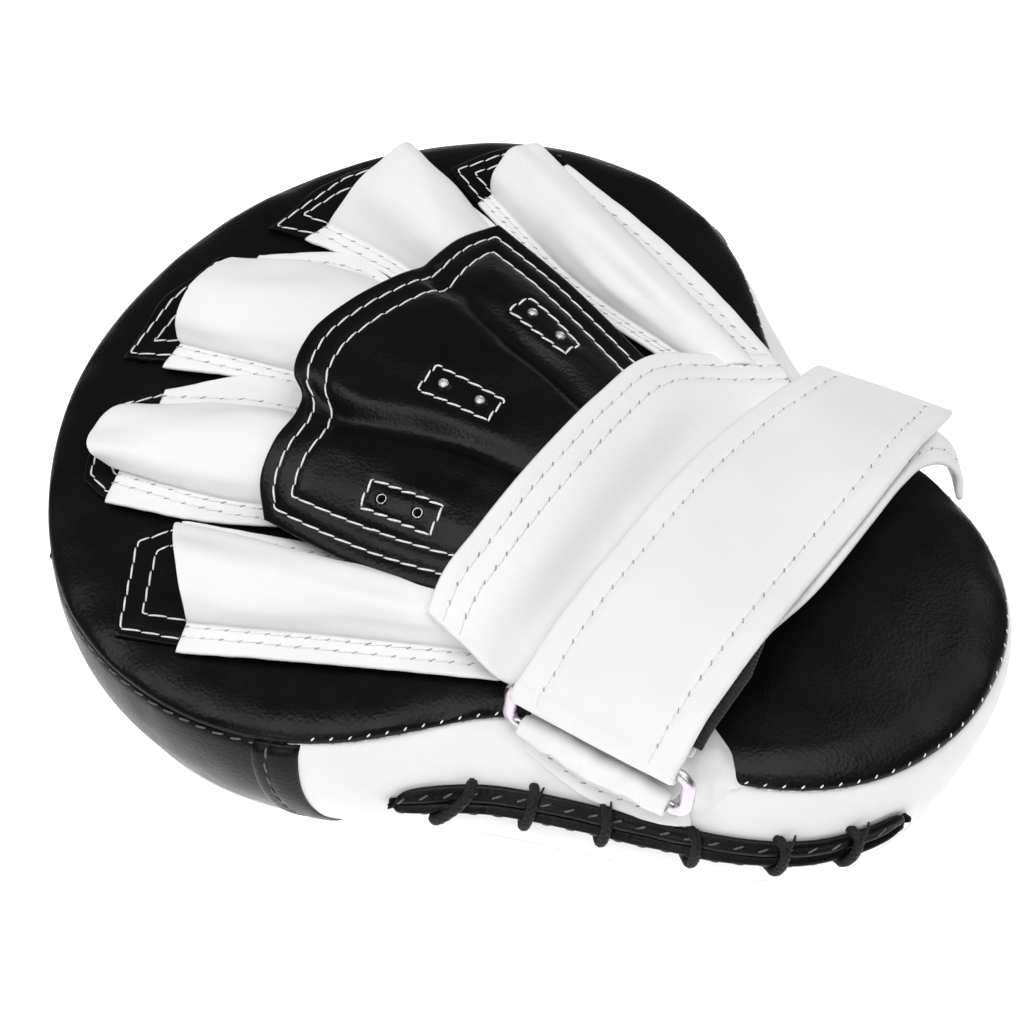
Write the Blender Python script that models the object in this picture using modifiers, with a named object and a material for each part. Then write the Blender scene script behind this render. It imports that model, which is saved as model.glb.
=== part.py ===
"""Focus mitt: a padded coaching mitt with a five-stall glove, a wrist strap and a laced side wall.

The mitt lies on its strike face. +Z is up, through the glove; +Y points to the finger end; -X is the
side with the strap's ring and the laced slit. The origin is the centre of the strike face.
Lengths in this script are in millimetres and are turned into metres as the meshes are made.
"""
import math

import bmesh
import bpy
import numpy as np
from mathutils import Matrix, Vector

MM = 0.001
ASSEMBLY = "focus_mitt"

# Pad
# Every 15 degrees from +Y: the top seam's radius, how far the foot of the side wall stands out from it,
# and how far the wall bulges halfway up
OUTLINE_RADII = (118.5, 118.5, 118.2, 117.5, 114, 106, 92, 78, 72, 79.5, 98.5, 117, 120.5)
FOOT_REACH = (-8, -8, -8, -8, -8, -9, -8, -1, 5, 4, 0.5, -6, -5)
WALL_BULGES = (2.5, 2.5, 2.5, 2.5, 2, 3, 7.5, 10.5, 11.5, 10.5, 9, 4.5, 1.5)
OUTLINE_STEP = 15.0
SEAM_HEIGHT = 45.0
CROWN = 4.0
LEATHER = 1.3
CLEARANCE = 0.4
STRIKE_LEVEL = 1.6
STRIKE_EDGE_RISE = 1.4
TARGET_RADIUS = 46.0
FOOT_CURVE = 1.6
WALL_FOOT = STRIKE_LEVEL + STRIKE_EDGE_RISE + LEATHER + CLEARANCE
WALL_TOP = SEAM_HEIGHT - LEATHER - CLEARANCE
JUNCTION = 87.0
JUNCTION_GAP = 0.3
BINDING_HALF = 2.4

# Slit in the side wall and its lacing
SLIT_START = 100.0
SLIT_END = 167.0
WALL_RISES = (0.0, 0.17, 0.335, 0.485, 0.65, 0.83, 1.0)
SLIT_ROW = 3
SLIT_MIDDLE = 0.57
SLIT_SLOPE = 0.002  # rise per degree, up towards the fingers
SLIT_LEVEL_ANGLE = 132.0
LIP_HEIGHT = 0.09
LIP_GAP = 0.012
TRIM_STANDOFF = 0.9
TIE_ANGLES = (110.2, 122.0, 132.8, 143.3, 152.2, 159.6)
TIE_RADIUS = 1.25
TIE_SPAN = 0.14

# Glove
PATCH_THICKNESS = 0.8
STALL_SKIN = 1.1
PATCH_REACH = 13.0
# Each stall: outer corners of the mouth (left, right), of the root (left, right), arch height at the
# mouth, middle and root, and the left and right flange widths.
STALLS = {
    "near": ((-90.5, 38.0), (-62.0, 60.5), (-59.5, -24.0), (-36.0, -10.0), (11.0, 7.0, 8.0), (9.0, 3.0)),
    "index": ((-65.5, 79.5), (-31.5, 89.0), (-46.0, 36.0), (-14.5, 42.0), (23.0, 17.0, 8.5), (4.0, 4.0)),
    "middle": ((-24.0, 94.5), (18.5, 98.5), (-10.0, 46.0), (25.0, 49.0), (19.0, 16.0, 13.0), (5.0, 4.0)),
    "ring": ((31.5, 91.0), (66.0, 82.0), (28.5, 47.0), (55.5, 41.0), (14.0, 10.0, 7.5), (4.0, 5.0)),
    "far": ((62.0, 66.0), (90.5, 49.0), (43.0, -12.0), (64.0, -26.0), (12.0, 10.0, 6.0), (3.0, 8.0)),
}
KNUCKLE_ROWS = (
    ((-53.5, 41, 57), (-48, 45.6, 62), (-38.5, 48, 66), (-29, 48.5, 67), (-25, 50, 67.4), (-22, 54, 69),
     (-10, 58.6, 70), (4.7, 57, 70), (18, 53, 69), (27, 50.5, 67), (31, 50.8, 65.5), (43, 50.5, 62.5),
     (54, 46.5, 60)),
    ((-53.5, 22, 58), (-40, 22, 64.5), (-22, 22, 67.5), (-2, 22, 68), (18, 22, 67), (35, 22, 63.5),
     (46.5, 20, 60)),
    ((-51, -4, 61), (-38, -4, 65), (-20, -4, 66.4), (-2, -4, 65.8), (14, -4, 63.2), (28, -4, 60.2),
     (38.5, -6, 57)),
    ((-48, -12, 61), (-36, -12, 63.8), (-20, -12, 64.6), (-2, -12, 64), (12, -12, 61.6), (25, -12, 58.8),
     (36.5, -13, 55.6)),
)
CUFF_ROWS = (
    ((-57.5, -9, 62.5), (-50, -8, 66), (-36, -8, 68), (-19, -8, 69), (-2, -8, 68), (16, -8, 65),
     (38, -10, 59.5), (52, -21, 53.5), (61, -30, 50.5)),
    ((-58.5, -19, 59), (-47, -20, 62.5), (-33, -20, 64.5), (-18, -20, 65), (-2, -20, 64), (15, -20, 61.5),
     (34, -22, 56.5), (48, -29, 52), (58, -36, 50)),
    ((-59, -30, 54.5), (-45, -33, 56.5), (-31, -33, 57.3), (-17, -33, 57.2), (-1, -33, 56.2),
     (15, -33, 54.6), (30, -34, 52.2), (42, -36, 50.4), (54, -39, 49.6)),
    ((-55, -39, 52), (-43, -41, 54), (-31, -41, 55), (-17, -41, 55), (-1, -41, 54), (14, -40.6, 52.6),
     (27, -40, 51), (38, -40, 50.2), (49, -40.6, 49.8)),
)
# Each vent: centre, and the direction its length runs in
VENTS = (((-39.5, 12.0), (-0.05, 1.0)), ((-4.8, 18.0), (-0.08, 1.0)), ((28.2, 14.5), (0.18, 0.98)))
VENT_SIZE = (9.0, 20.0)
VENT_BACKING = 0.7
VENT_DEPTH = LEATHER + 0.5
EYELET_SPREAD = 4.8
EYELET_HOLE = 1.4
EYELET_PROFILE = ((1.9, 0.9), (1.9, 0.35), (1.05, 0.35), (1.05, -2.6), (0.7, -2.6), (0.7, 0.9))
EYELET_STEPS = 12

# Wrist strap and its ring
STRAP_SKIN = 1.5
TAPE = 0.8
STRAP_GAP = 0.3
RING_WIRE = 1.4
RING_BAR = (-62.0, 58.0)
KEEPER_BAR = (-64.0, 47.5)
RING_ENDS = (-80.4, -34.2)
RING_CORNER = 3.0
FOLD_RADIUS = RING_WIRE + CLEARANCE + STRAP_SKIN
KEEPER_RADIUS = RING_WIRE + CLEARANCE + LEATHER
FLAP_EDGES = (
    ((-58, -36.3, 62.3), (-52, -36, 63.2), (-44, -35.5, 63.8), (-31, -35, 63.6), (-18, -35, 62.8),
     (0, -35, 61.6), (18, -35.5, 59.4), (32, -36.5, 57), (47, -38, 53.4), (58, -39.8, 50.6),
     (67.5, -41, 47.5)),
    ((-58, -57, 62.9), (-52, -57, 64.8), (-44, -57, 66.4), (-31, -57, 67.2), (-18, -57, 66.8),
     (0, -57, 65.4), (18, -57, 63.2), (32, -57, 60.8), (47, -57.5, 57.2), (58, -58, 53.4),
     (68, -58.5, 49.6)),
    ((-58, -78.3, 63.6), (-52, -78.3, 66.6), (-44, -78.3, 69), (-31, -78.3, 70), (-18, -78.3, 69.6),
     (0, -78, 68), (18, -78, 66.8), (32, -78, 66), (47, -77.5, 62.8), (58, -77, 57.6),
     (68.5, -76.2, 52)),
)
STRAP_ROWS = (
    ((-56, -38, 57.2), (-50, -38.5, 59), (-40, -39, 59.7), (-22, -39.5, 59.1), (0, -40.5, 57.8),
     (18, -41.5, 55.7), (34, -42, 52.4), (47, -42, 49.3), (56, -42, 47.9), (62.5, -42, 46.6),
     (67.5, -42, 42)),
    ((-56, -57, 57.4), (-50, -57, 60.4), (-40, -57, 62.6), (-22, -57, 62.9), (0, -57, 61.4),
     (18, -57, 59.2), (34, -57, 56.2), (47, -57, 52.6), (55, -57, 49), (62, -57, 46), (69, -57, 40)),
    ((-56, -76, 57.8), (-50, -76, 62.2), (-40, -76, 65.2), (-22, -76, 65.7), (0, -76, 63.9),
     (18, -76, 62.6), (34, -76, 61.3), (45, -76, 58.4), (53, -76, 52.5), (58, -77, 46.5), (64, -78, 39)),
)
TAPE_REACH = (0.16, 0.80)
FOLD_SHARE = (0.3, 0.09)  # of the flap's columns, and of its length

WHITE = (0.86, 0.86, 0.87, 1.0)
BLACK = (0.012, 0.012, 0.013, 1.0)


def material(name, colour, roughness, metallic=0.0):
    shader = bpy.data.materials.new(name)
    shader.use_nodes = True
    bsdf = shader.node_tree.nodes["Principled BSDF"]
    bsdf.inputs["Base Color"].default_value = colour
    bsdf.inputs["Roughness"].default_value = roughness
    bsdf.inputs["Metallic"].default_value = metallic
    return shader


def clear_scene():
    for thing in list(bpy.data.objects):
        bpy.data.objects.remove(thing)


def collection():
    group = bpy.data.collections.get(ASSEMBLY)
    if group is None:
        group = bpy.data.collections.new(ASSEMBLY)
        bpy.context.scene.collection.children.link(group)
    return group


def add(name, data, shader):
    part = bpy.data.objects.new(name, data)
    data.materials.append(shader)
    collection().objects.link(part)
    return part


def spline(points, t):
    """The point a fraction t along a smooth open curve through the points."""
    route = np.array(points, dtype=float)
    steps = np.linalg.norm(np.diff(route, axis=0), axis=1)
    knots = np.concatenate([[0.0], np.cumsum(steps)]) / steps.sum()
    slopes = np.gradient(route, knots, axis=0)
    left = int(np.clip(np.searchsorted(knots, t, side="right") - 1, 0, len(route) - 2))
    span = knots[left + 1] - knots[left]
    s = (t - knots[left]) / span
    start = route[left] * (2 * s**3 - 3 * s**2 + 1) + slopes[left] * span * (s**3 - 2 * s**2 + s)
    end = route[left + 1] * (3 * s**2 - 2 * s**3) + slopes[left + 1] * span * (s**3 - s**2)
    return start + end


def loft(rows):
    """A surface through rows of points: u runs along each row, v from the first row to the last."""
    return lambda u, v: spline([spline(row, u) for row in rows], v)


def sheet(name, surface, columns, rows, thickness, shader, flip=False, keep=None):
    """A closed skin whose outer face is surface(u, v), thickened inwards."""
    grid = bmesh.new()
    bmesh.ops.create_grid(grid, x_segments=columns, y_segments=rows, size=0.5)
    if keep is not None:
        waste = [f for f in grid.faces if not keep(*(f.calc_center_median().xy + Vector((0.5, 0.5))))]
        bmesh.ops.delete(grid, geom=waste, context="FACES")
    for vert in grid.verts:
        vert.co = Vector(surface(vert.co.x + 0.5, vert.co.y + 0.5)) * MM
    if flip:
        bmesh.ops.reverse_faces(grid, faces=grid.faces)
    mesh = bpy.data.meshes.new(name)
    grid.to_mesh(mesh)
    grid.free()
    mesh.shade_smooth()
    part = add(name, mesh, shader)
    skin = part.modifiers.new("skin", "SOLIDIFY")
    skin.thickness = thickness * MM
    skin.offset = -1.0
    return part


def wire(name, points, radius, shader, cyclic=False, rings=2):
    curve = bpy.data.curves.new(name, "CURVE")
    curve.dimensions = "3D"
    curve.bevel_depth = radius * MM
    curve.bevel_resolution = rings
    curve.use_fill_caps = not cyclic
    route = curve.splines.new("POLY")
    route.points.add(len(points) - 1)
    for point, place in zip(route.points, points):
        point.co = (place[0] * MM, place[1] * MM, place[2] * MM, 1.0)
    route.use_cyclic_u = cyclic
    return add(name, curve, shader)


def round_pad(values, angle):
    """A value at an angle in degrees from +Y, smooth between values set every 15 degrees; both sides alike."""
    place = abs((angle + 180.0) % 360.0 - 180.0) / OUTLINE_STEP
    last = len(values) - 1
    left = min(int(place), last - 1)
    near = [values[last - abs(last - abs(left + k))] for k in (-1, 0, 1, 2)]
    s = place - left
    slope_left = (near[2] - near[0]) / 2
    slope_right = (near[3] - near[1]) / 2
    start = near[1] * (2 * s**3 - 3 * s**2 + 1) + slope_left * (s**3 - 2 * s**2 + s)
    return start + near[2] * (3 * s**2 - 2 * s**3) + slope_right * (s**3 - s**2)


def outline(angle):
    """Radius of the pad's top seam."""
    return round_pad(OUTLINE_RADII, angle)


def foot(angle):
    """Radius of the strike face and of the side wall's foot."""
    return outline(angle) + round_pad(FOOT_REACH, angle)


def polar(radius, angle, z):
    turn = math.radians(angle)
    return (radius * math.sin(turn), radius * math.cos(turn), z)


def disc(u, v):
    """The unit square bent to the unit disc: the share of the radius, and the angle from +Y to +X."""
    a = 2 * u - 1
    b = 2 * v - 1
    x = a * math.sqrt(1 - b * b / 2)
    y = b * math.sqrt(1 - a * a / 2)
    return math.hypot(x, y), math.degrees(math.atan2(x, y))


def panel_height(x, y):
    """Height of the back panel's outer face."""
    share = math.hypot(x, y) / outline(math.degrees(math.atan2(x, y)))
    return SEAM_HEIGHT + CROWN * (1 - min(share, 1.0) ** 4)


def wall(angle, rise, proud=0.0):
    """A point on the side wall's outer face: rise is 0 at its foot and 1 at the top seam."""
    lean = round_pad(FOOT_REACH, angle) * (1 - rise) ** FOOT_CURVE
    bulge = round_pad(WALL_BULGES, angle) * math.sin(math.pi * rise)
    radius = outline(angle) + lean + bulge + proud
    return polar(radius, angle, WALL_FOOT + (WALL_TOP - WALL_FOOT) * rise)


def make_strike_face(white, black):
    def face(u, v):
        share, angle = disc(u, v)
        return polar(share * foot(angle), angle, STRIKE_LEVEL + STRIKE_EDGE_RISE * share**12)

    sheet("strike_panel", face, 14, 14, LEATHER, white, flip=True)
    bpy.ops.mesh.primitive_cylinder_add(
        vertices=48, radius=TARGET_RADIUS * MM, depth=(STRIKE_LEVEL - CLEARANCE) * MM,
        location=(0, 0, (STRIKE_LEVEL - CLEARANCE) / 2 * MM))
    target = bpy.context.object
    target.name = "target_patch"
    target.data.name = "target_patch"
    target.data.materials.append(black)
    for group in list(target.users_collection):
        group.objects.unlink(target)
    collection().objects.link(target)


def make_back_panel(black):
    def face(u, v):
        share, angle = disc(u, v)
        return polar(share * outline(angle), angle, SEAM_HEIGHT + CROWN * (1 - share**4))

    sheet("back_panel", face, 16, 16, LEATHER, black)


def make_foam(name, inset, bottom, top, shader):
    """A foam layer: the pad's outline, set in, as a slab."""
    grid = bmesh.new()
    bmesh.ops.create_grid(grid, x_segments=10, y_segments=10, size=0.5)
    for vert in grid.verts:
        share, angle = disc(vert.co.x + 0.5, vert.co.y + 0.5)
        vert.co = Vector(polar(share * (outline(angle) - inset), angle, bottom)) * MM
    raised = bmesh.ops.extrude_face_region(grid, geom=list(grid.faces))["geom"]
    for item in raised:
        if isinstance(item, bmesh.types.BMVert):
            item.co.z = top * MM
    bmesh.ops.recalc_face_normals(grid, faces=grid.faces)
    mesh = bpy.data.meshes.new(name)
    grid.to_mesh(mesh)
    grid.free()
    add(name, mesh, shader)


def slit_rise(angle):
    """Where the slit's middle runs on the side wall."""
    return SLIT_MIDDLE + SLIT_SLOPE * (SLIT_LEVEL_ANGLE - abs(angle))


def make_walls(black, white):
    def band(start, end):
        return lambda u, v: wall(start + (end - start) * u, float(np.interp(v * 6, range(7), WALL_RISES)))

    def laced_band(u, v):
        """Rows of the wall that follow the slit on the near side."""
        angle = start - turn * u
        rise = float(np.interp(v * 6, range(7), WALL_RISES))
        near = SLIT_START <= -angle <= SLIT_END
        shift = (slit_rise(angle) - SLIT_MIDDLE) * 4 * rise * (1 - rise) if near else 0.0
        return wall(angle, rise + shift)

    limit = JUNCTION - JUNCTION_GAP
    sheet("gusset_fingers", band(limit, -limit), 30, 6, LEATHER, black)
    start = -(JUNCTION + JUNCTION_GAP)
    turn = 360.0 - 2 * (JUNCTION + JUNCTION_GAP)

    def outside_slit(u, v):
        angle = -(start - turn * u)
        return int(v * 6) != SLIT_ROW or not SLIT_START < angle < SLIT_END

    sheet("gusset_wrist", laced_band, 44, 6, LEATHER, white, keep=outside_slit)
    for name, side in (("seam_binding_near", -1), ("seam_binding_far", 1)):
        def strip(u, v, side=side):
            angle = side * (JUNCTION - 1.0) + (0.5 - u) * 2 * BINDING_HALF
            return wall(angle, 0.02 + 0.95 * v, TRIM_STANDOFF + LEATHER)
        sheet(name, strip, 3, 6, LEATHER, black)


def make_slit(black):
    def lip(side):
        def face(u, v):
            ends = 1 - 0.6 * abs(2 * u - 1) ** 10
            angle = -(SLIT_START - 3.0 + (SLIT_END - SLIT_START + 6.0) * u)
            rise = slit_rise(angle) + side * (LIP_GAP + LIP_HEIGHT * ends * v)
            return wall(angle, rise, TRIM_STANDOFF + LEATHER)
        return face

    sheet("slit_lip_upper", lip(1), 24, 2, LEATHER, black)
    sheet("slit_lip_lower", lip(-1), 24, 2, LEATHER, black, flip=True)
    outer = TRIM_STANDOFF + LEATHER + TIE_RADIUS + CLEARANCE
    for number, angle in enumerate(TIE_ANGLES, start=1):
        bow = []
        for k in range(9):
            turn = math.pi * (k / 8 - 0.5)
            reach = outer - 1.8 * (1 - math.cos(turn) ** 0.5) if k not in (0, 8) else outer - 1.8
            rise = slit_rise(angle) + TIE_SPAN * math.sin(turn)
            bow.append(wall(-angle - math.sin(turn), rise, reach + 0.6))
        wire(f"lace_tie_{number}", bow, TIE_RADIUS, black, rings=1)


def make_stall(name, mouth, root, heights, flanges, white, black):
    left = (mouth[0], root[0])
    right = (mouth[1], root[1])

    def face(u, v):
        """u runs across from the left flange over the arch to the right one, v from root to mouth."""
        a = np.array(left[1]) + (np.array(left[0]) - np.array(left[1])) * v
        b = np.array(right[1]) + (np.array(right[0]) - np.array(right[1])) * v
        width = float(np.linalg.norm(b - a))
        height = float(np.interp(v, (0, 0.5, 1), heights[::-1]))
        foot = (flanges[0] / width, 1 - flanges[1] / width)
        turn = (u - 0.14) / 0.72
        if turn <= 0:
            across, lift = foot[0] * u / 0.14, 0.0
        elif turn >= 1:
            across, lift = 1 - (1 - foot[1]) * (1 - u) / 0.14, 0.0
        else:
            across = foot[0] + (foot[1] - foot[0]) * (0.5 - 0.5 * math.cos(math.pi * turn))
            lift = height * math.sin(math.pi * turn)
        x, y = a + (b - a) * across
        return (x, y, panel_height(x, y) + 2 * CLEARANCE + PATCH_THICKNESS + STALL_SKIN + lift)

    def patch(u, v):
        """The black patch the stall is sewn on, which reaches past the mouth with clipped corners."""
        a = np.array(left[1]) + (np.array(left[0]) - np.array(left[1])) * v
        b = np.array(right[1]) + (np.array(right[0]) - np.array(right[1])) * v
        x, y = a + (b - a) * (0.06 + 0.88 * u)
        middle = (np.array(left[0]) + np.array(right[0]) - np.array(left[1]) - np.array(right[1])) / 2
        ahead = middle / np.linalg.norm(middle)
        clip = 1 - 0.55 * max(0.0, abs(2 * u - 1) - 0.5)
        x, y = np.array((x, y)) + ahead * PATCH_REACH * max(0.0, v * 4 - 3) * clip
        return (x, y, panel_height(x, y) + CLEARANCE + PATCH_THICKNESS)

    sheet(f"stall_{name}", face, 14, 6, STALL_SKIN, white)
    sheet(f"stall_base_{name}", patch, 6, 8, PATCH_THICKNESS, black)


def locate(surface, x, y):
    """The u and v at which a surface passes over x, y: a search in ever smaller windows."""
    best = (0.5, 0.5)
    window = 0.5
    for _ in range(14):
        steps = [window * k / 2 for k in range(-2, 3)]
        nearby = [(best[0] + i, best[1] + j) for i in steps for j in steps]
        inside = [(min(max(u, 0.0), 1.0), min(max(v, 0.0), 1.0)) for u, v in nearby]
        best = min(inside, key=lambda uv: math.dist(surface(*uv)[:2], (x, y)))
        window *= 0.6
    return best


def upward(surface, u, v):
    """The surface's normal, pointing up."""
    step = 0.02
    across = Vector(surface(u + step, v) - surface(u - step, v))
    along = Vector(surface(u, v + step) - surface(u, v - step))
    normal = across.cross(along).normalized()
    return normal if normal.z > 0 else -normal


def make_eyelet(name, place, normal, nickel):
    """A flanged tube, turned from its profile, set in the leather with its flange on top."""
    mesh = bpy.data.meshes.new(name)
    ends = [(r * MM, 0.0, z * MM) for r, z in EYELET_PROFILE]
    mesh.from_pydata(ends, [(k, (k + 1) % len(ends)) for k in range(len(ends))], [])
    eyelet = add(name, mesh, nickel)
    eyelet.location = place * MM
    eyelet.rotation_mode = "QUATERNION"
    eyelet.rotation_quaternion = normal.to_track_quat("Z", "Y")
    turned = eyelet.modifiers.new("turned", "SCREW")
    turned.steps = EYELET_STEPS
    turned.render_steps = EYELET_STEPS
    turned.use_merge_vertices = True
    turned.merge_threshold = 0.00001


def make_vents(knuckle, panel, black, nickel):
    """Stitched backing pieces under the knuckle panel, each with two eyelets through both layers."""
    drill = bmesh.new()
    backings = []
    for number, (centre, along) in enumerate(VENTS, start=1):
        ahead = Vector(along).normalized()
        aside = Vector((ahead.y, -ahead.x))
        half = (VENT_SIZE[0] / 2, VENT_SIZE[1] / 2)
        corners = []
        for side, end in ((-1, -1), (1, -1), (1, 1), (-1, 1)):
            corners.append(np.array(locate(knuckle, *(Vector(centre) + aside * side * half[0]
                                                      + ahead * end * half[1]))))

        def backing(a, b, corners=corners):
            low = corners[0] + (corners[1] - corners[0]) * a
            high = corners[3] + (corners[2] - corners[3]) * a
            point = knuckle(*(low + (high - low) * b))
            return (point[0], point[1], point[2] - VENT_DEPTH)

        backings.append(sheet(f"vent_backing_{number}", backing, 3, 4, VENT_BACKING, black))
        for end, side in (("front", 1), ("rear", -1)):
            spot = Vector(centre) + ahead * side * EYELET_SPREAD
            u, v = locate(knuckle, *spot)
            normal = upward(knuckle, u, v)
            place = Vector(knuckle(u, v))
            make_eyelet(f"eyelet_{number}_{end}", place, normal, nickel)
            turn = normal.to_track_quat("Z", "Y").to_matrix().to_4x4()
            turn.translation = place * MM
            bmesh.ops.create_cone(drill, cap_ends=True, segments=12, radius1=EYELET_HOLE * MM,
                                  radius2=EYELET_HOLE * MM, depth=9 * MM, matrix=turn)
    mesh = bpy.data.meshes.new("eyelet_drill")
    drill.to_mesh(mesh)
    drill.free()
    cutter = bpy.data.objects.new("eyelet_drill", mesh)
    cutter.hide_render = True
    cutter.display_type = "WIRE"
    cutters = bpy.data.collections.new("cutters")
    bpy.context.scene.collection.children.link(cutters)
    cutters.objects.link(cutter)
    for leather in [panel] + backings:
        holes = leather.modifiers.new("eyelet_holes", "BOOLEAN")
        holes.operation = "DIFFERENCE"
        holes.object = cutter


def make_glove(white, black, nickel):
    for name, (left, right, root_left, root_right, heights, flanges) in STALLS.items():
        make_stall(name, (left, right), (root_left, root_right), heights, flanges, white, black)
    knuckle = loft(KNUCKLE_ROWS)
    panel = sheet("knuckle_panel", knuckle, 24, 8, LEATHER, black, flip=True)
    make_vents(knuckle, panel, black, nickel)
    sheet("cuff_band", loft(CUFF_ROWS), 20, 6, LEATHER, white, flip=True)


def arc(centre, radius, start, end, count):
    """Points on a circle in the XZ plane, angles in degrees from +X towards +Z."""
    turns = [math.radians(start + (end - start) * k / (count - 1)) for k in range(count)]
    return [(centre[0] + radius * math.cos(t), centre[1] + radius * math.sin(t)) for t in turns]


def make_strap(white, black):
    fold = arc(RING_BAR, FOLD_RADIUS, -50, -270, 9)
    flap_rows = []
    for edge in FLAP_EDGES:
        flap_rows.append([(x, edge[0][1], z) for x, z in fold] + list(edge))
    whole = loft(flap_rows)

    def flap_face(u, v):
        return whole(float(np.interp(u, (0, FOLD_SHARE[0], 1), (0, FOLD_SHARE[1], 1))), v)

    sheet("strap_flap", flap_face, 34, 3, STRAP_SKIN, white, flip=True)
    sheet("strap_lower", loft(STRAP_ROWS), 22, 3, STRAP_SKIN, white, flip=True)

    def tape(depth, start, end):
        flap = loft(FLAP_EDGES)

        def face(u, v):
            along = start + (end - start) * u
            x, y, z = flap(along, 0.06 + 0.88 * v)
            return (x, y, z - depth)
        return face

    low, high = TAPE_REACH
    hook_depth = STRAP_SKIN + STRAP_GAP
    sheet("hook_tape", tape(hook_depth, low, high), 14, 3, TAPE, black, flip=True)
    sheet("loop_tape", tape(hook_depth + TAPE + STRAP_GAP, low, high), 14, 3, TAPE, black, flip=True)


def make_ring(white, nickel):
    corners = []
    ends = (RING_ENDS[0], RING_ENDS[1])
    tall = math.hypot(RING_BAR[0] - KEEPER_BAR[0], RING_BAR[1] - KEEPER_BAR[1])
    slope = ((RING_BAR[0] - KEEPER_BAR[0]) / tall, (RING_BAR[1] - KEEPER_BAR[1]) / tall)
    for y, h, start in ((ends[1], tall, 0), (ends[0], tall, 90), (ends[0], 0.0, 180), (ends[1], 0.0, 270)):
        inner_y = y - math.copysign(RING_CORNER, y - sum(ends) / 2)
        inner_h = h - math.copysign(RING_CORNER, h - tall / 2)
        for k in range(4):
            turn = math.radians(start + 30 * k)
            corners.append((inner_y + RING_CORNER * math.cos(turn), inner_h + RING_CORNER * math.sin(turn)))
    loop = [(KEEPER_BAR[0] + slope[0] * h, y, KEEPER_BAR[1] + slope[1] * h) for y, h in corners]
    wire("ring", loop, RING_WIRE, nickel, cyclic=True, rings=1)

    hood = arc(KEEPER_BAR, KEEPER_RADIUS, 180, 10, 7)
    rows = []
    for y in (-38.5, -57.0, -76.0):
        outer = [(-69.8, y, 39.5), (-68.2, y, 43.0)]
        inner = [(x, y, panel_height(x, y) + 2 * CLEARANCE + LEATHER) for x in (-59.5, -54.0)]
        rows.append(outer + [(x, y, z) for x, z in hood] + inner)
    sheet("ring_keeper", loft(rows), 16, 2, LEATHER, white, flip=True)


def hang(part, pivot):
    """Parents a part to a pivot and leaves it in its place; no pivot is turned."""
    part.parent = pivot
    part.matrix_parent_inverse = Matrix.Translation(-pivot.location)


def make_pivot(name, bar):
    """An empty on the hinge line that runs along Y through bar (x, z)."""
    pivot = bpy.data.objects.new(name, None)
    pivot.location = Vector((bar[0], sum(RING_ENDS) / 2, bar[1])) * MM
    collection().objects.link(pivot)
    return pivot


def hang_moving_pieces():
    """The ring swings in its keeper, and the flap turns on the ring's upper bar."""
    ring_pivot = make_pivot("ring_pivot", KEEPER_BAR)
    flap_pivot = make_pivot("flap_pivot", RING_BAR)
    hang(bpy.data.objects["ring"], ring_pivot)
    hang(flap_pivot, ring_pivot)
    for piece in ("strap_flap", "hook_tape"):
        hang(bpy.data.objects[piece], flap_pivot)


def main():
    clear_scene()
    white = material("white_leather", WHITE, 0.45)
    black = material("black_leather", BLACK, 0.35)
    foam = material("foam", (0.75, 0.72, 0.62, 1.0), 0.9)
    nickel = material("nickel", (0.75, 0.73, 0.72, 1.0), 0.25, 1.0)
    make_strike_face(white, black)
    make_back_panel(black)
    make_foam("foam_core_hard", 12.0, WALL_FOOT + CLEARANCE, 24.0, foam)
    make_foam("foam_core_soft", 6.5, 24.4, WALL_TOP - CLEARANCE, foam)
    make_walls(black, white)
    make_slit(black)
    make_glove(white, black, nickel)
    make_strap(white, black)
    make_ring(white, nickel)
    hang_moving_pieces()


main()
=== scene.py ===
"""Looks of the focus mitt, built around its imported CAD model.

Lengths are in millimetres and turn into metres as each mesh is made. The mitt lies on its strike
face: +Z is up through the glove, +Y points to the finger end, and -X is the ring and lacing side.
Soft pieces are grids of points, P[row, column], shaped by formulas and then given a thickness.
"""
import math
import random

import bpy
import numpy as np
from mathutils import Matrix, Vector, kdtree, noise
from mathutils.bvhtree import BVHTree


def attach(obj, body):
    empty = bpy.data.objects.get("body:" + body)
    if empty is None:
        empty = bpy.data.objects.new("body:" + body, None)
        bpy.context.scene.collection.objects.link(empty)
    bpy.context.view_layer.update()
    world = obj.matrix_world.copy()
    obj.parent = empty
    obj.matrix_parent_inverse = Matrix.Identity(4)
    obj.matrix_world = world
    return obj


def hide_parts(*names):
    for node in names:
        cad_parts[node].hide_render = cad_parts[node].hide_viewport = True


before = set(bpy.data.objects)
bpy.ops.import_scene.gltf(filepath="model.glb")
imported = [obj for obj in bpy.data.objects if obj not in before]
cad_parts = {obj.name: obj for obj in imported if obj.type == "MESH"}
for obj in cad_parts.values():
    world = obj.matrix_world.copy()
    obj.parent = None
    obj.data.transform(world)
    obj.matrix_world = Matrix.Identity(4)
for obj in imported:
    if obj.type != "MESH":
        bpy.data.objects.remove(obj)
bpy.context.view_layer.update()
MM = 0.001

# Pad, close to the CAD model
SEAM_HEIGHT = 45.0
ROLL = 3.0
ROLL_WIDTH = 10.0
CROWN = 1.0
HEEL_PUFF = 3.2
HEEL_CENTRE = (0.0, -90.0)
STRIKE_LEVEL = 1.6
STRIKE_EDGE_RISE = 1.4
TARGET_RADIUS = 46.0
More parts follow.
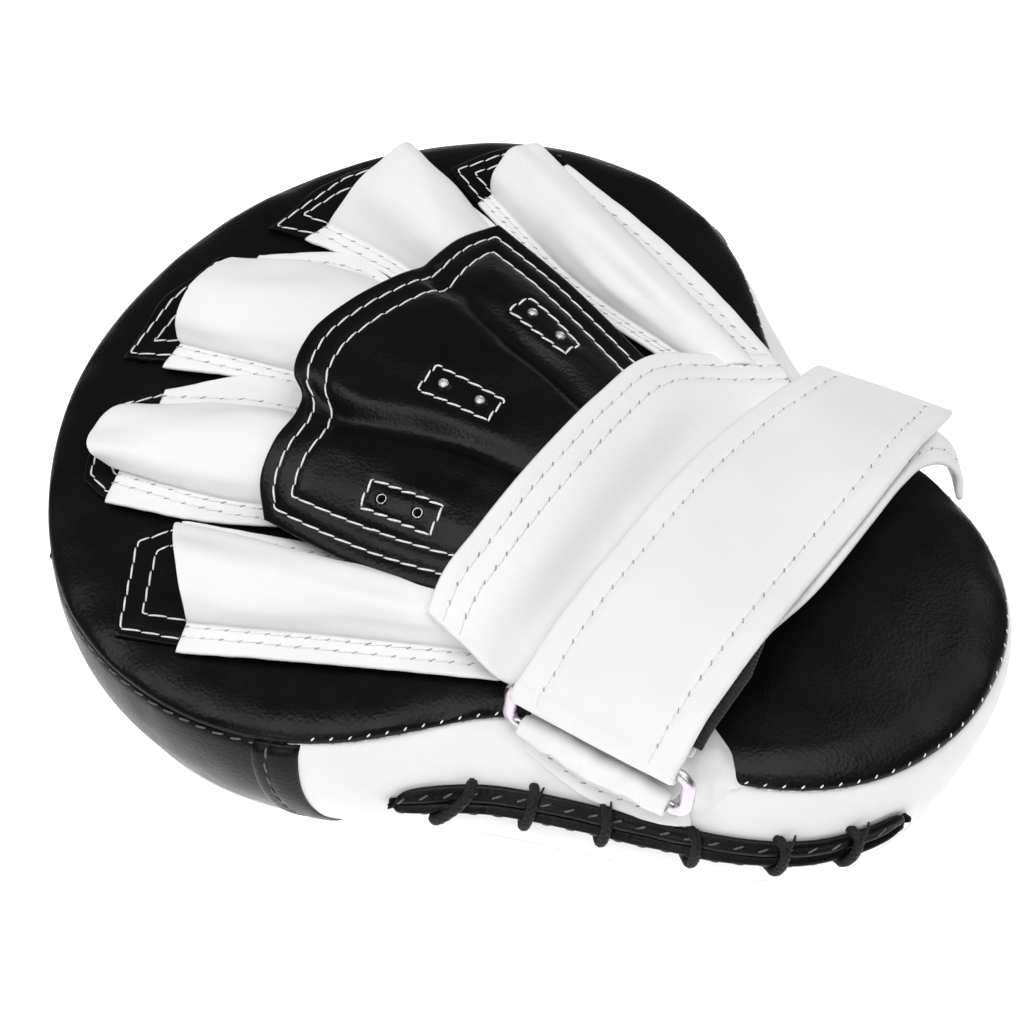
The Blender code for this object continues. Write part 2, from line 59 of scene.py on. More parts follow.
# Every 15 degrees from +Y, both sides alike: how far the wall's foot stands out from the top seam, and
# how far the wall bulges halfway up
FOOT_REACH = (-8, -8, -9, -9.5, -9, -9, -8, 0.5, 6.5, 4.5, 0.5, -6, -5)
WALL_BULGES = (2.5, 2.5, 2, 1.5, 1.5, 3, 6, 9, 11, 10.5, 9, 4.5, 1.5)
FOOT_CURVE = 1.6
WALL_FOOT = 4.5
WALL_TOP = 44.6
SEAM_TUCK = 1.5
JUNCTION = 87.0
LEATHER = 1.3

# Slit in the side wall and its ties
SLIT_START = 103.0
SLIT_END = 165.5
SLIT_MIDDLE = 0.6
SLIT_SLOPE = -0.0004
SLIT_LEVEL_ANGLE = 132.0
TIE_ANGLES = (110.2, 122.0, 132.8, 143.3, 152.2, 159.6)
TIE_RADIUS = 1.2

# Each stall has three stations, at its mouth, middle and root: the left edge, left foot, right foot and
# right edge of its flanges and arch, then the arch's height.
STALLS = {
    "near": ((((-91.5, 38), (-84, 40.5), (-66, 56.5), (-61.5, 59.5)), 12.5),
             (((-76, 8.5), (-69, 10.5), (-53.5, 20), (-47.5, 22)), 11),
             (((-57.5, -28), (-52, -24), (-41, -14), (-36, -10)), 8)),
    "index": ((((-66, 79.3), (-57, 82), (-36.5, 86.5), (-31, 88.5)), 8.5),
              (((-58, 56), (-51.5, 58.5), (-24, 63), (-15, 72)), 9),
              (((-47, 36), (-43, 37), (-19, 41), (-14.5, 42)), 9)),
    "middle": ((((-24.6, 94.2), (-16.5, 94.8), (13, 97), (18.5, 96.8)), 10),
               (((-14.5, 70), (-10, 71), (24, 74), (30.5, 79)), 11),
               (((-9, 46), (-5, 46.5), (21, 48), (25.5, 49)), 15)),
    "ring": ((((30.3, 90.4), (37.5, 88.5), (61, 83), (65.5, 81)), 17),
             (((31.8, 67), (36.5, 68), (59.5, 63.5), (63, 62)), 14.5),
             (((29, 47), (33, 46.5), (53, 42.5), (57, 41)), 7)),
    "far": ((((65.5, 60), (69.5, 59), (84, 51), (90, 48.5)), 9.5),
            (((52, 25), (55.5, 24), (72.5, 15), (80, 13.5)), 10),
            (((44.5, -18), (47.5, -20), (56, -29), (60, -35)), 2.5)),
}
# How far the top of each arch stands ahead of its mouth, and to the right of the middle of its feet
STALL_REACH = {"near": (1.0, 0.0), "index": (9.0, -5.0), "middle": (3.0, -2.0), "ring": (-5.0, 8.0),
               "far": (4.0, 3.5)}
STALL_SKIN = 1.2
PATCH = 0.8
LAYER_GAP = 0.4

KNUCKLE_ROWS = (
    ((-53.5, 41, 57), (-48, 45.6, 62), (-38.5, 48, 66), (-29, 48.5, 67), (-25, 50, 67.4), (-22, 54, 69),
     (-10, 58.6, 70), (4.7, 57, 70), (18, 53, 69), (27, 50.5, 67), (31, 50.8, 65.5), (43, 50.5, 62.5),
     (54, 46.5, 60)),
    ((-53.5, 22, 58), (-40, 22, 64.5), (-22, 22, 67.5), (-2, 22, 68), (18, 22, 67), (35, 22, 63.5),
     (46.5, 20, 60)),
    ((-51, -4, 61), (-38, -4, 65), (-20, -4, 66.4), (-2, -4, 65.8), (14, -4, 63.2), (28, -4, 60.2),
     (38.5, -6, 57)),
    ((-48, -12, 61), (-36, -12, 63.8), (-20, -12, 64.6), (-2, -12, 64), (12, -12, 61.6), (25, -12, 58.8),
     (36.5, -13, 55.6)),
)
CUFF_ROWS = (
    ((-57.5, -9, 62.5), (-50, -8, 66), (-36, -8, 68), (-19, -8, 69), (-2, -8, 68), (16, -8, 65),
     (38, -10, 59.5), (52, -21, 53.5), (61, -30, 50.5)),
    ((-58.5, -19, 59), (-47, -20, 62.5), (-33, -20, 64.5), (-18, -20, 65), (-2, -20, 64), (15, -20, 61.5),
     (34, -22, 56.5), (48, -29, 52), (58, -36, 50)),
    ((-59, -30, 54.5), (-45, -33, 56.5), (-31, -33, 57.3), (-17, -33, 57.2), (-1, -33, 56.2),
     (15, -33, 54.6), (30, -34, 52.2), (42, -36, 50.4), (54, -39, 49.6)),
    ((-55, -39, 52), (-43, -41, 54), (-31, -41, 55), (-17, -41, 55), (-1, -41, 54), (14, -40.6, 52.6),
     (27, -40, 51), (38, -40, 50.2), (49, -40.6, 49.8)),
)
# Creases of the knuckle panel, from the clefts between the fingers to the cuff
CREASES = (((-24.5, 50), (-25, 38), (-20, 22), (-16.5, 8), (-14, -8)),
           ((28, 50.5), (23.5, 34), (20, 18), (17, 4), (14, -9)))

RING_BAR = (-62.0, 58.0)
KEEPER_BAR = (-64.0, 47.5)
RING_ENDS = (-80.4, -34.2)
RING_CORNER = 3.0
FOLD_RADIUS = 3.3
KEEPER_RADIUS = 3.1
FLAP_EDGES = (
    ((-58, -36.3, 62.3), (-52, -36, 63.2), (-44, -35.5, 63.8), (-31, -35, 63.6), (-18, -35, 62.8),
     (0, -35, 61.6), (18, -35.5, 59.4), (32, -36.5, 57), (47, -38, 53.4), (58, -39.8, 50.6),
     (67.5, -41, 47.5)),
    ((-58, -57, 62.9), (-52, -57, 64.8), (-44, -57, 66.4), (-31, -57, 67.2), (-18, -57, 66.8),
     (0, -57, 65.4), (18, -57, 63.2), (32, -57, 60.8), (47, -57.5, 57.2), (58, -58, 53.4),
     (68, -58.5, 49.6)),
    ((-58, -76.4, 63.6), (-52, -76.4, 66.6), (-44, -76.8, 69), (-31, -77, 70), (-18, -77.2, 69.6),
     (0, -77.6, 68), (18, -78, 66.8), (32, -78, 66), (47, -77.5, 62.8), (58, -77, 57.6),
     (68.5, -76.2, 52)),
)
STRAP_ROWS = (
    ((-56, -38, 57.2), (-50, -38.5, 59), (-40, -39, 59.7), (-22, -39.5, 59.1), (0, -40.5, 57.8),
     (18, -41.5, 55.7), (34, -42, 52.4), (47, -42, 49.3), (56, -42, 47.9), (62.5, -42, 46.6),
     (67.5, -42, 42)),
    ((-56, -57, 57.4), (-50, -57, 60.4), (-40, -57, 62.6), (-22, -57, 62.9), (0, -57, 61.4),
     (18, -57, 59.2), (34, -57, 56.2), (47, -57, 52.6), (55, -57, 49), (62, -57, 46), (69, -57, 40)),
    ((-56, -76, 57.8), (-50, -76, 62.2), (-40, -76, 65.2), (-22, -76, 65.7), (0, -76, 63.9),
     (18, -76, 62.6), (34, -76, 61.3), (46, -76, 58.4), (57, -78, 54.5), (60.5, -81.5, 50), (59, -84, 44)),
    ((-56, -76.4, 57.8), (-50, -76.4, 62), (-40, -76.4, 64.6), (-22, -77, 64.6), (0, -79.4, 65.2),
     (18, -79.6, 63.8), (34, -79.8, 62.6), (44.5, -81, 59.6), (51, -84.5, 55.5), (52.5, -88, 51),
     (50.5, -90, 46)),
)

# Thread
PITCH = 4.4
DASH = 4.35
THREAD = 0.26


# ---------------------------------------------------------------- curves and surfaces

def spline(points, t):
    """The points a share t of the way along a smooth open curve."""
    route = np.asarray(points, float)
    t = np.asarray(t, float)
    steps = np.linalg.norm(np.diff(route, axis=0), axis=1)
    knots = np.concatenate([[0.0], np.cumsum(steps)]) / steps.sum()
    slopes = np.gradient(route, knots, axis=0)
    left = np.clip(np.searchsorted(knots, t, side="right") - 1, 0, len(route) - 2)
    span = (knots[left + 1] - knots[left])[:, None]
    s = (t - knots[left])[:, None] / span
    start = route[left] * (2 * s**3 - 3 * s**2 + 1) + slopes[left] * span * (s**3 - 2 * s**2 + s)
    end = route[left + 1] * (3 * s**2 - 2 * s**3) + slopes[left + 1] * span * (s**3 - s**2)
    return start + end


def loft(rows, across, along):
    """A grid over a surface through rows of points: across runs along each row, along from row to row."""
    lines = np.stack([spline(row, across) for row in rows])
    return np.stack([spline(lines[:, k], along) for k in range(len(across))], axis=1)


def polar(radius, angle, height):
    """Points round the pad's middle: radius and angle from +Y towards +X, at a height."""
    return np.stack(np.broadcast_arrays(radius * np.sin(angle), radius * np.cos(angle), height), axis=-1)


def unit(vectors):
    return vectors / np.maximum(np.linalg.norm(vectors, axis=-1, keepdims=True), 1e-9)


def normals(P, flip=False):
    facing = unit(np.cross(np.gradient(P, axis=1), np.gradient(P, axis=0)))
    return -facing if flip else facing


def swell(P, amount, flip=False):
    """The surface moved out along its normals by an amount at each point."""
    return P + normals(P, flip) * amount[..., None]


def on(P, row, column):
    """Points at fractional rows and columns of a grid."""
    row, column = np.broadcast_arrays(np.asarray(row, float), np.asarray(column, float))
    r = np.clip(row.astype(int), 0, P.shape[0] - 2)
    c = np.clip(column.astype(int), 0, P.shape[1] - 2)
    y = (row - r)[..., None]
    x = (column - c)[..., None]
    low = P[r, c] * (1 - x) + P[r, c + 1] * x
    return low * (1 - y) + (P[r + 1, c] * (1 - x) + P[r + 1, c + 1] * x) * y


def travelled(P, axis, back=False):
    """Distance over the surface from the first row (axis 0) or column (axis 1), or from the last one."""
    steps = np.linalg.norm(np.diff(P, axis=axis), axis=-1)
    start = np.zeros_like(steps[:1]) if axis == 0 else np.zeros_like(steps[:, :1])
    gone = np.concatenate([start, np.cumsum(steps, axis=axis)], axis=axis)
    total = gone[-1:] if axis == 0 else gone[:, -1:]
    return total - gone if back else gone


def parallel(P, side, inset, trim=()):
    """A line on the surface at a distance from one of its sides: front, back, left or right.

    trim lists (side, distance) pairs: the line stops where it comes that close to another side."""
    axis = 0 if side in ("front", "back") else 1
    gone = travelled(P, axis, side in ("back", "right"))
    found = []
    for k in range(P.shape[1 - axis]):
        distance = gone[:, k] if axis == 0 else gone[k]
        steps = np.arange(len(distance))
        if side in ("back", "right"):
            place = np.interp(inset, distance[::-1], steps[::-1])
        else:
            place = np.interp(inset, distance, steps)
        found.append((place, k) if axis == 0 else (k, place))
    spots = np.array(found)
    for other, gap in trim:
        axis_other = 0 if other in ("front", "back") else 1
        room = on(travelled(P, axis_other, other in ("back", "right"))[..., None], spots[:, 0], spots[:, 1])
        spots = spots[room[:, 0] >= gap]
    return on(P, spots[:, 0], spots[:, 1])


def outline_of(node):
    """The pad's outline, as a cosine series through the rim of its CAD back panel."""
    points = np.array([v.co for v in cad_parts[node].data.vertices]) / MM
    rim = points[np.abs(points[:, 2] - SEAM_HEIGHT) < 0.003]
    angles = np.arctan2(rim[:, 0], rim[:, 1])
    waves = np.cos(np.outer(angles, np.arange(11)))
    return np.linalg.lstsq(waves, np.hypot(rim[:, 0], rim[:, 1]), rcond=None)[0]


OUTLINE = outline_of("back_panel")


def outline(angle):
    """Radius of the pad's top seam at angles in radians from +Y towards +X."""
    angle = np.asarray(angle, float)
    return sum(share * np.cos(k * angle) for k, share in enumerate(OUTLINE))


def edge_distance(x, y):
    reach = outline(np.arctan2(x, y))
    return reach - np.hypot(x, y)


def pad_top(x, y):
    """Height of the back panel's leather."""
    inside = np.clip(edge_distance(x, y) / ROLL_WIDTH, 0, 1)
    roll = ROLL * np.sqrt(1 - (1 - inside) ** 2)
    crown = CROWN * np.clip(edge_distance(x, y) / 90, 0, 1)
    heel = np.exp(-(((x - HEEL_CENTRE[0]) / 42) ** 2 + ((y - HEEL_CENTRE[1]) / 24) ** 2))
    return SEAM_HEIGHT + roll + crown + HEEL_PUFF * heel * inside**0.5


def round_pad(values, angle):
    """Values set every 15 degrees, smoothed to any angles in radians."""
    turns = np.radians(15.0) * np.arange(len(values))
    waves = np.cos(np.outer(turns, np.arange(9)))
    shares = np.linalg.lstsq(waves, np.array(values, float), rcond=None)[0]
    return sum(share * np.cos(k * np.asarray(angle, float)) for k, share in enumerate(shares))


def foot_reach(angle):
    return round_pad(FOOT_REACH, angle)


def slit_rise(angle):
    """Where the slit's middle runs on the side wall, at an angle in degrees."""
    return SLIT_MIDDLE + SLIT_SLOPE * (SLIT_LEVEL_ANGLE - np.abs(angle))


def wall(angle, rise, proud=0.0):
    """Points on the side wall: angle in degrees, rise 0 at the foot and 1 at the top seam."""
    angle, rise = np.broadcast_arrays(np.asarray(angle, float), np.asarray(rise, float))
    low = np.clip(rise, 0, 1)
    bulge = round_pad(WALL_BULGES, np.radians(angle)) * np.sin(np.pi * low) ** 0.85
    lean = foot_reach(np.radians(angle)) * (1 - low) ** FOOT_CURVE + bulge
    tuck = SEAM_TUCK * (np.clip((rise - 0.93) / 0.07, 0, 1) ** 2 + np.clip((0.06 - rise) / 0.06, 0, 1) ** 2)
    radius = outline(np.radians(angle)) + lean - tuck + proud
    turn = np.radians(angle)
    height = WALL_FOOT + (WALL_TOP - WALL_FOOT) * rise
    return polar(radius, turn, height)


def disc_grid(count, crowd=1.0):
    """A square grid bent to the unit disc: each point's share of the radius and its angle from +Y."""
    a, b = np.meshgrid(np.linspace(-1, 1, count), np.linspace(-1, 1, count))
    x = a * np.sqrt(1 - b * b / 2)
    y = b * np.sqrt(1 - a * a / 2)
    share = np.clip(np.hypot(x, y), 0, 1)
    return 1 - (1 - share) ** crowd, np.arctan2(x, y)


def rumple(P, size, seed=0.0, stretch=(1, 1, 1)):
    """Smooth noise from -1 to 1 at each point, with folds about size millimetres apart."""
    flat = P.reshape(-1, 3) / (np.array(stretch) * size)
    shift = Vector((seed, seed * 1.7, seed * 0.6))
    values = [noise.noise(Vector(point) + shift) for point in flat]
    return np.array(values).reshape(P.shape[:2])


def nearness(P, lines, width, step=0.5):
    """1 on the lines, falling to 0 within about twice the width."""
    dots = np.concatenate([resample(line, step) for line in lines])
    tree = kdtree.KDTree(len(dots))
    for k, dot in enumerate(dots):
        tree.insert(dot, k)
    tree.balance()
    far = np.array([tree.find(point)[2] for point in P.reshape(-1, 3)]).reshape(P.shape[:2])
    return np.exp(-((far / width) ** 2))


def resample(line, step):
    """Points evenly spaced along a line, about step apart."""
    line = np.asarray(line, float)
    gone = np.concatenate([[0.0], np.cumsum(np.linalg.norm(np.diff(line, axis=0), axis=1))])
    count = max(2, int(round(gone[-1] / step)) + 1)
    places = np.linspace(0, gone[-1], count)
    return np.stack([np.interp(places, gone, line[:, k]) for k in range(line.shape[1])], axis=1)


def press(P, lines, depth=0.35, width=0.9, flip=False):
    """The surface pulled in along stitched lines."""
    return P - normals(P, flip) * (depth * nearness(P, lines, width))[..., None]


# ---------------------------------------------------------------- meshes

def make_object(name, vertices, faces, shader, body):
    mesh = bpy.data.meshes.new(name)
    mesh.from_pydata((np.asarray(vertices) * MM).tolist(), [], [list(map(int, f)) for f in faces])
    mesh.materials.append(shader)
    mesh.shade_smooth()
    piece = bpy.data.objects.new(name, mesh)
    bpy.context.scene.collection.objects.link(piece)
    if body:
        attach(piece, body)
    return piece


def grid_faces(rows, columns, flip=False):
    index = np.arange(rows * columns).reshape(rows, columns)
    quads = np.stack([index[:-1, :-1], index[:-1, 1:], index[1:, 1:], index[1:, :-1]], axis=-1)
    return quads[..., ::-1] if flip else quads


def skin(name, P, thickness, shader, body="root", flip=False, keep=None):
    """A closed piece of leather whose outer face is the grid P, with rounded edges."""
    rows, columns = P.shape[:2]
    facing = normals(P, flip)
    under = P - facing * thickness
    quads = grid_faces(rows, columns, flip)
    if keep is None:
        keep = np.ones((rows - 1, columns - 1), bool)
    count = rows * columns
    faces = [quads[keep].reshape(-1, 4), quads[keep].reshape(-1, 4)[:, ::-1] + count]
    faces.append(hole_edges(quads, keep, count))

    last = (rows - 1, columns - 1)
    r = np.concatenate([np.zeros(last[1]), np.arange(last[0]), np.full(last[1], last[0]),
                        np.arange(last[0], 0, -1)]).astype(int)
    c = np.concatenate([np.arange(last[1]), np.full(last[0], last[1]), np.arange(last[1], 0, -1),
                        np.zeros(last[0])]).astype(int)
    inward = P[np.clip(r, 1, rows - 2), np.clip(c, 1, columns - 2)]
    out = P[r, c] - inward
    out = unit(out - facing[r, c] * np.sum(out * facing[r, c], axis=1, keepdims=True))
    middle = (P[r, c] + under[r, c]) / 2
    loops = [r * columns + c]
    vertices = [P.reshape(-1, 3), under.reshape(-1, 3)]
    for step in (1, 2, 3):
        turn = math.pi * step / 4
        ring = middle + (facing[r, c] * math.cos(turn) + out * math.sin(turn)) * thickness / 2
        loops.append(2 * count + (step - 1) * len(r) + np.arange(len(r)))
        vertices.append(ring)
    loops.append(r * columns + c + count)
    for one, two in zip(loops, loops[1:]):
        band = np.stack([one, two, np.roll(two, -1), np.roll(one, -1)], axis=1)
        faces.append(band[:, ::-1] if flip else band)
    return make_object(name, np.concatenate(vertices), np.concatenate(faces), shader, body)


def hole_edges(quads, keep, count):
    """Walls between the outer and inner face round the cells that are left out."""
    walls = np.zeros((0, 4), int)
    for side, (down, right) in enumerate(((-1, 0), (0, 1), (1, 0), (0, -1))):
        beside = np.roll(keep, (-down, -right), axis=(0, 1))
        edge = keep & ~beside
        if down:
            edge[0 if down < 0 else -1] = False
        else:
            edge[:, 0 if right < 0 else -1] = False
        p = quads[edge][:, side]
        q = quads[edge][:, (side + 1) % 4]
        walls = np.concatenate([walls, np.stack([p, p + count, q + count, q], axis=1)])
    return walls


class Batch:
    """Many small pieces gathered into one mesh."""

    def __init__(self):
        self.vertices = []
        self.faces = []
        self.count = 0

    def take(self, vertices, faces):
        self.vertices.append(np.asarray(vertices))
        self.faces += [[k + self.count for k in face] for face in faces]
        self.count += len(vertices)

    def build(self, name, shader, body="root"):
        return make_object(name, np.concatenate(self.vertices), self.faces, shader, body)


def tube(path, radii, sides=6, up=(0, 0, 1), flat=1.0, closed=False, weave=None):
    """A tube along a path: its vertices and faces. up stops it twisting, and flat squeezes it that way."""
    path = np.asarray(path, float)
    count = len(path)
    steps = np.roll(path, -1, 0) - np.roll(path, 1, 0) if closed else np.gradient(path, axis=0)
    ahead = unit(steps)
    up = np.broadcast_to(np.asarray(up, float), path.shape)
    side = unit(np.cross(ahead, up))
    top = np.cross(side, ahead)
    turns = 2 * np.pi * np.arange(sides) / sides
    radii = np.broadcast_to(np.asarray(radii, float), count)[:, None] * np.ones(sides)
    if weave is not None:
        radii = radii * weave(np.arange(count)[:, None], turns[None, :])
    ring = radii[..., None] * (np.cos(turns)[None, :, None] * side[:, None]
                               + flat * np.sin(turns)[None, :, None] * top[:, None])
    vertices = (path[:, None] + ring).reshape(-1, 3)
    faces = []
    for k in range(count if closed else count - 1):
        n = (k + 1) % count
        for j in range(sides):
            m = (j + 1) % sides
            faces.append([k * sides + j, n * sides + j, n * sides + m, k * sides + m])
    if not closed:
        faces.append(list(range(sides)))
        faces.append([(count - 1) * sides + j for j in reversed(range(sides))])
    return vertices, faces


def tree_of(P, flip=False):
    quads = grid_faces(*P.shape[:2], flip).reshape(-1, 4)
    return BVHTree.FromPolygons(P.reshape(-1, 3).tolist(), quads.tolist())


def spots_on(tree, points):
    found = [tree.find_nearest(Vector(point)) for point in points]
    return np.array([hit[0] for hit in found]), np.array([hit[1] for hit in found])


def sew(batch, tree, line, holes=None, pitch=PITCH, dash=DASH, radius=THREAD, slant=0.18):
    """Stitches along a line: short arched lengths of thread, pulled down into the leather at both ends."""
    line = np.asarray(line, float)
    gone = np.concatenate([[0.0], np.cumsum(np.linalg.norm(np.diff(line, axis=0), axis=1))])
    number = max(1, int(gone[-1] / pitch))
    pace = gone[-1] / number
    share = np.linspace(0, 1, 7)
    for k in range(number):
        length = min(dash, 0.98 * pace) * random.uniform(0.93, 1.04)
        places = (k + 0.5) * pace + (share - 0.5) * length
        spine = np.stack([np.interp(places, gone, line[:, axis]) for axis in range(3)], axis=1)
        spots, facing = spots_on(tree, spine)
        arch = np.sin(np.pi * share)
        aside = unit(np.cross(facing, np.gradient(spots, axis=0)))
        lean = slant * (share - 0.5)[:, None] * 2 + random.uniform(-0.06, 0.06)
        spine = spots + facing * (radius * (0.6 * arch[:, None] ** 0.5 - 0.2)) + aside * lean
        batch.take(*tube(spine, radius * (0.7 + 0.3 * arch), 6, facing, 0.8))
        # Painted shade: a grey oval at the needle puncture after each stitch, for the shade there and the
        # thread's shadow
        if holes is not None:
            gap = (k + 1) * pace
            spot, up = spots_on(tree, [[np.interp(gap, gone, line[:, axis]) for axis in range(3)]])
            ahead = unit(spots[-1:] - spots[:1])
            size = (random.uniform(0.65, 0.95), random.uniform(0.2, 0.28))
            holes.take(*hole(spot[0], up[0], ahead[0], *size))


def hole(spot, up, ahead, long, wide):
    """The needle puncture between two stitches, drawn as a small flat grey oval slanted across the line:
    painted shade of the puncture and of the thread's shadow.
    """
    ahead = unit(ahead + 0.55 * np.cross(up, ahead))
    aside = np.cross(up, ahead)
    turns = 2 * np.pi * np.arange(8) / 8
    rim = spot + up * 0.05 + np.cos(turns)[:, None] * ahead * long + np.sin(turns)[:, None] * aside * wide
    return rim, [list(range(8))]


# ---------------------------------------------------------------- materials

def shader_nodes(name, colour, roughness, metallic=0.0, specular=0.5):
    shader = bpy.data.materials.new(name)
    shader.use_nodes = True
    nodes = shader.node_tree.nodes
    bsdf = nodes["Principled BSDF"]
    bsdf.inputs["Base Color"].default_value = (*colour, 1.0)
    bsdf.inputs["Roughness"].default_value = roughness
    bsdf.inputs["Metallic"].default_value = metallic
    bsdf.inputs["Specular IOR Level"].default_value = specular
    place = nodes.new("ShaderNodeTexCoord").outputs["Object"]
    return shader, shader.node_tree, bsdf, place


def noise_node(tree, place, size, detail=2.0):
    """Noise with features about size millimetres across."""
    texture = tree.nodes.new("ShaderNodeTexNoise")
    texture.inputs["Scale"].default_value = 1 / (size * MM)
    texture.inputs["Detail"].default_value = detail
    tree.links.new(place, texture.inputs["Vector"])
    return texture.outputs["Fac"]


def cells_node(tree, place, size):
    texture = tree.nodes.new("ShaderNodeTexVoronoi")
    texture.feature = "F1"
    texture.inputs["Scale"].default_value = 1 / (size * MM)
    tree.links.new(place, texture.inputs["Vector"])
    return texture.outputs["Distance"]


def spread(tree, value, low, high, out_low, out_high):
    reach = tree.nodes.new("ShaderNodeMapRange")
    for socket, number in (("From Min", low), ("From Max", high), ("To Min", out_low), ("To Max", out_high)):
        reach.inputs[socket].default_value = number
    tree.links.new(value, reach.inputs["Value"])
    return reach.outputs["Result"]


def tint(tree, bsdf, value, dark, light):
    """Colour that drifts between two shades."""
    ramp = tree.nodes.new("ShaderNodeValToRGB")
    ramp.color_ramp.elements[0].color = (*dark, 1.0)
    ramp.color_ramp.elements[1].color = (*light, 1.0)
    ramp.color_ramp.elements[0].position = 0.3
    ramp.color_ramp.elements[1].position = 0.7
    tree.links.new(value, ramp.inputs["Fac"])
    tree.links.new(ramp.outputs["Color"], bsdf.inputs["Base Color"])


def bumps(tree, bsdf, layers):
    """Bump layers, each a height value, a strength and a depth in millimetres."""
    normal = None
    for value, strength, depth in layers:
        bump = tree.nodes.new("ShaderNodeBump")
        bump.inputs["Strength"].default_value = strength
        bump.inputs["Distance"].default_value = depth * MM
        tree.links.new(value, bump.inputs["Height"])
        if normal is not None:
            tree.links.new(normal, bump.inputs["Normal"])
        normal = bump.outputs["Normal"]
    tree.links.new(normal, bsdf.inputs["Normal"])


def leather(name, dark, light, roughness, grain, strength, specular):
    """Coated leather: pebbled grain with finer wrinkles, drifting in shade and gloss."""
    shader, tree, bsdf, place = shader_nodes(name, light, roughness, specular=specular)
    broad = noise_node(tree, place, 26.0, 3.0)
    tint(tree, bsdf, broad, dark, light)
    gloss = spread(tree, noise_node(tree, place, 9.0, 4.0), 0.3, 0.7, roughness - 0.05, roughness + 0.07)
    tree.links.new(gloss, bsdf.inputs["Roughness"])
    bumps(tree, bsdf, [(noise_node(tree, place, 6.0, 3.0), 0.25, 0.25),
                       (cells_node(tree, place, grain), strength, 0.12),
                       (noise_node(tree, place, grain * 0.35, 2.0), strength * 0.5, 0.06)])
    return shader


def fibre(name, dark, light, roughness, grain, strength, sheen=0.2):
    """Thread, cord, webbing and foam: matt and finely broken up."""
    shader, tree, bsdf, place = shader_nodes(name, light, roughness, specular=0.3)
    bsdf.inputs["Sheen Weight"].default_value = sheen
    tint(tree, bsdf, noise_node(tree, place, grain * 3, 3.0), dark, light)
    bumps(tree, bsdf, [(cells_node(tree, place, grain), strength, 0.15),
                       (noise_node(tree, place, grain * 0.5, 3.0), strength, 0.1)])
    return shader


def metal(name, colour, roughness):
    shader, tree, bsdf, place = shader_nodes(name, colour, roughness, metallic=1.0)
    worn = noise_node(tree, place, 2.5, 5.0)
    tint(tree, bsdf, worn, tuple(c * 0.85 for c in colour), colour)
    tree.links.new(spread(tree, worn, 0.3, 0.7, roughness - 0.06, roughness + 0.1), bsdf.inputs["Roughness"])
    bumps(tree, bsdf, [(noise_node(tree, place, 0.5, 2.0), 0.1, 0.02)])
    return shader


def make_materials():
    black = ((0.0024, 0.0024, 0.0026), (0.0045, 0.0045, 0.0048))
    white = ((0.82, 0.82, 0.825), (0.87, 0.87, 0.875))
    return {
        "black": leather("black_leather_grain", *black, 0.3, 0.9, 0.5, 0.15),
        "white": leather("white_leather_grain", *white, 0.55, 0.8, 0.3, 0.22),
        "suede": fibre("white_leather_back", (0.6, 0.58, 0.56), (0.74, 0.72, 0.7), 0.95, 0.5, 0.8),
        "thread": fibre("white_thread", (0.78, 0.78, 0.78), (0.93, 0.93, 0.92), 0.7, 0.25, 0.5),
        "grey_thread": fibre("grey_thread", (0.05, 0.05, 0.052), (0.16, 0.16, 0.165), 0.6, 0.25, 0.5),
        # Painted shade: grey for the ovals at the needle punctures, standing for their shade and the
        # thread's shadow
        "hole": fibre("needle_holes", (0.26, 0.26, 0.265), (0.45, 0.45, 0.46), 0.9, 0.4, 0.2, 0.0),
        "cord": fibre("black_cord_braid", (0.002, 0.002, 0.002), (0.007, 0.007, 0.0075), 0.6, 0.35, 0.7,
                      0.03),
        "webbing": fibre("black_webbing", (0.006, 0.006, 0.006), (0.022, 0.022, 0.023), 0.75, 0.4, 0.8),
        "hook": fibre("black_hook_tape", (0.005, 0.005, 0.005), (0.02, 0.02, 0.02), 0.8, 0.8, 1.0),
        "foam": fibre("foam", (0.62, 0.59, 0.5), (0.76, 0.73, 0.64), 0.95, 1.2, 0.9, 0.0),
        "nickel": metal("nickel_plate", (0.66, 0.63, 0.66), 0.28),
    }


LOOK = make_materials()


def finish_piece(piece, slot, *nodes, padded=None):
    if nodes:
        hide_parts(*nodes)
    return piece


class Sewing:
    """The stitches of one piece, sewn on its surface, with grey ovals of painted shade at the needle
    punctures.
    """

    def __init__(self, P, flip=False):
        self.tree = tree_of(P, flip)
        self.thread = Batch()
        self.holes = Batch()

    def row(self, line, holes=True, **sizes):
        sew(self.thread, self.tree, line, self.holes if holes else None, **sizes)

    def finish(self, name, slot="white_leather", thread="thread", body="root"):
        finish_piece(self.thread.build(f"stitches_{name}", LOOK[thread], body), slot)
        # Grey ovals of painted shade at the needle punctures, in a mesh of their own
        if self.holes.count:
            finish_piece(self.holes.build(f"holes_{name}", LOOK["hole"], body), slot)


def stitch(name, P, lines, flip=False, slot="white_leather", thread="thread", body="root", **sizes):
    """All the stitching of a piece whose rows are alike."""
    sewing = Sewing(P, flip)
    for line in lines:
        sewing.row(line, **sizes)
    sewing.finish(name, slot, thread, body)


# ---------------------------------------------------------------- pad

def make_back_panel():
    share, angle = disc_grid(180, 1.3)
    radius = share * outline(angle)
    x = radius * np.sin(angle)
    y = radius * np.cos(angle)
    P = np.stack([x, y, pad_top(x, y)], axis=-1)
    inside = np.clip(edge_distance(x, y), 0, 100)
    rim = np.stack([angle * 90, np.zeros_like(x), inside / 4], axis=-1)
    soft = 0.7 * rumple(P, 30, 3.0) * np.clip(inside / 15, 0, 1)
    pucker = 0.9 * rumple(rim, 8.0, 1.0) * np.exp(-inside / 9) * np.clip(inside / 1.5, 0, 1)
    P = swell(P, soft + pucker)
    finish_piece(skin("pad_back", P, LEATHER, LOOK["black"]), "black_leather", "back_panel", padded=0.7)
    turns = np.radians(np.linspace(JUNCTION + 2, 358 - JUNCTION, 400))
    seam = polar(outline(turns) - 0.2, turns, SEAM_HEIGHT + 1)
    stitch("pad_seam", P, [seam], slot="black_leather",
           holes=False, pitch=4.2, dash=0.7, radius=0.2, slant=0.3)


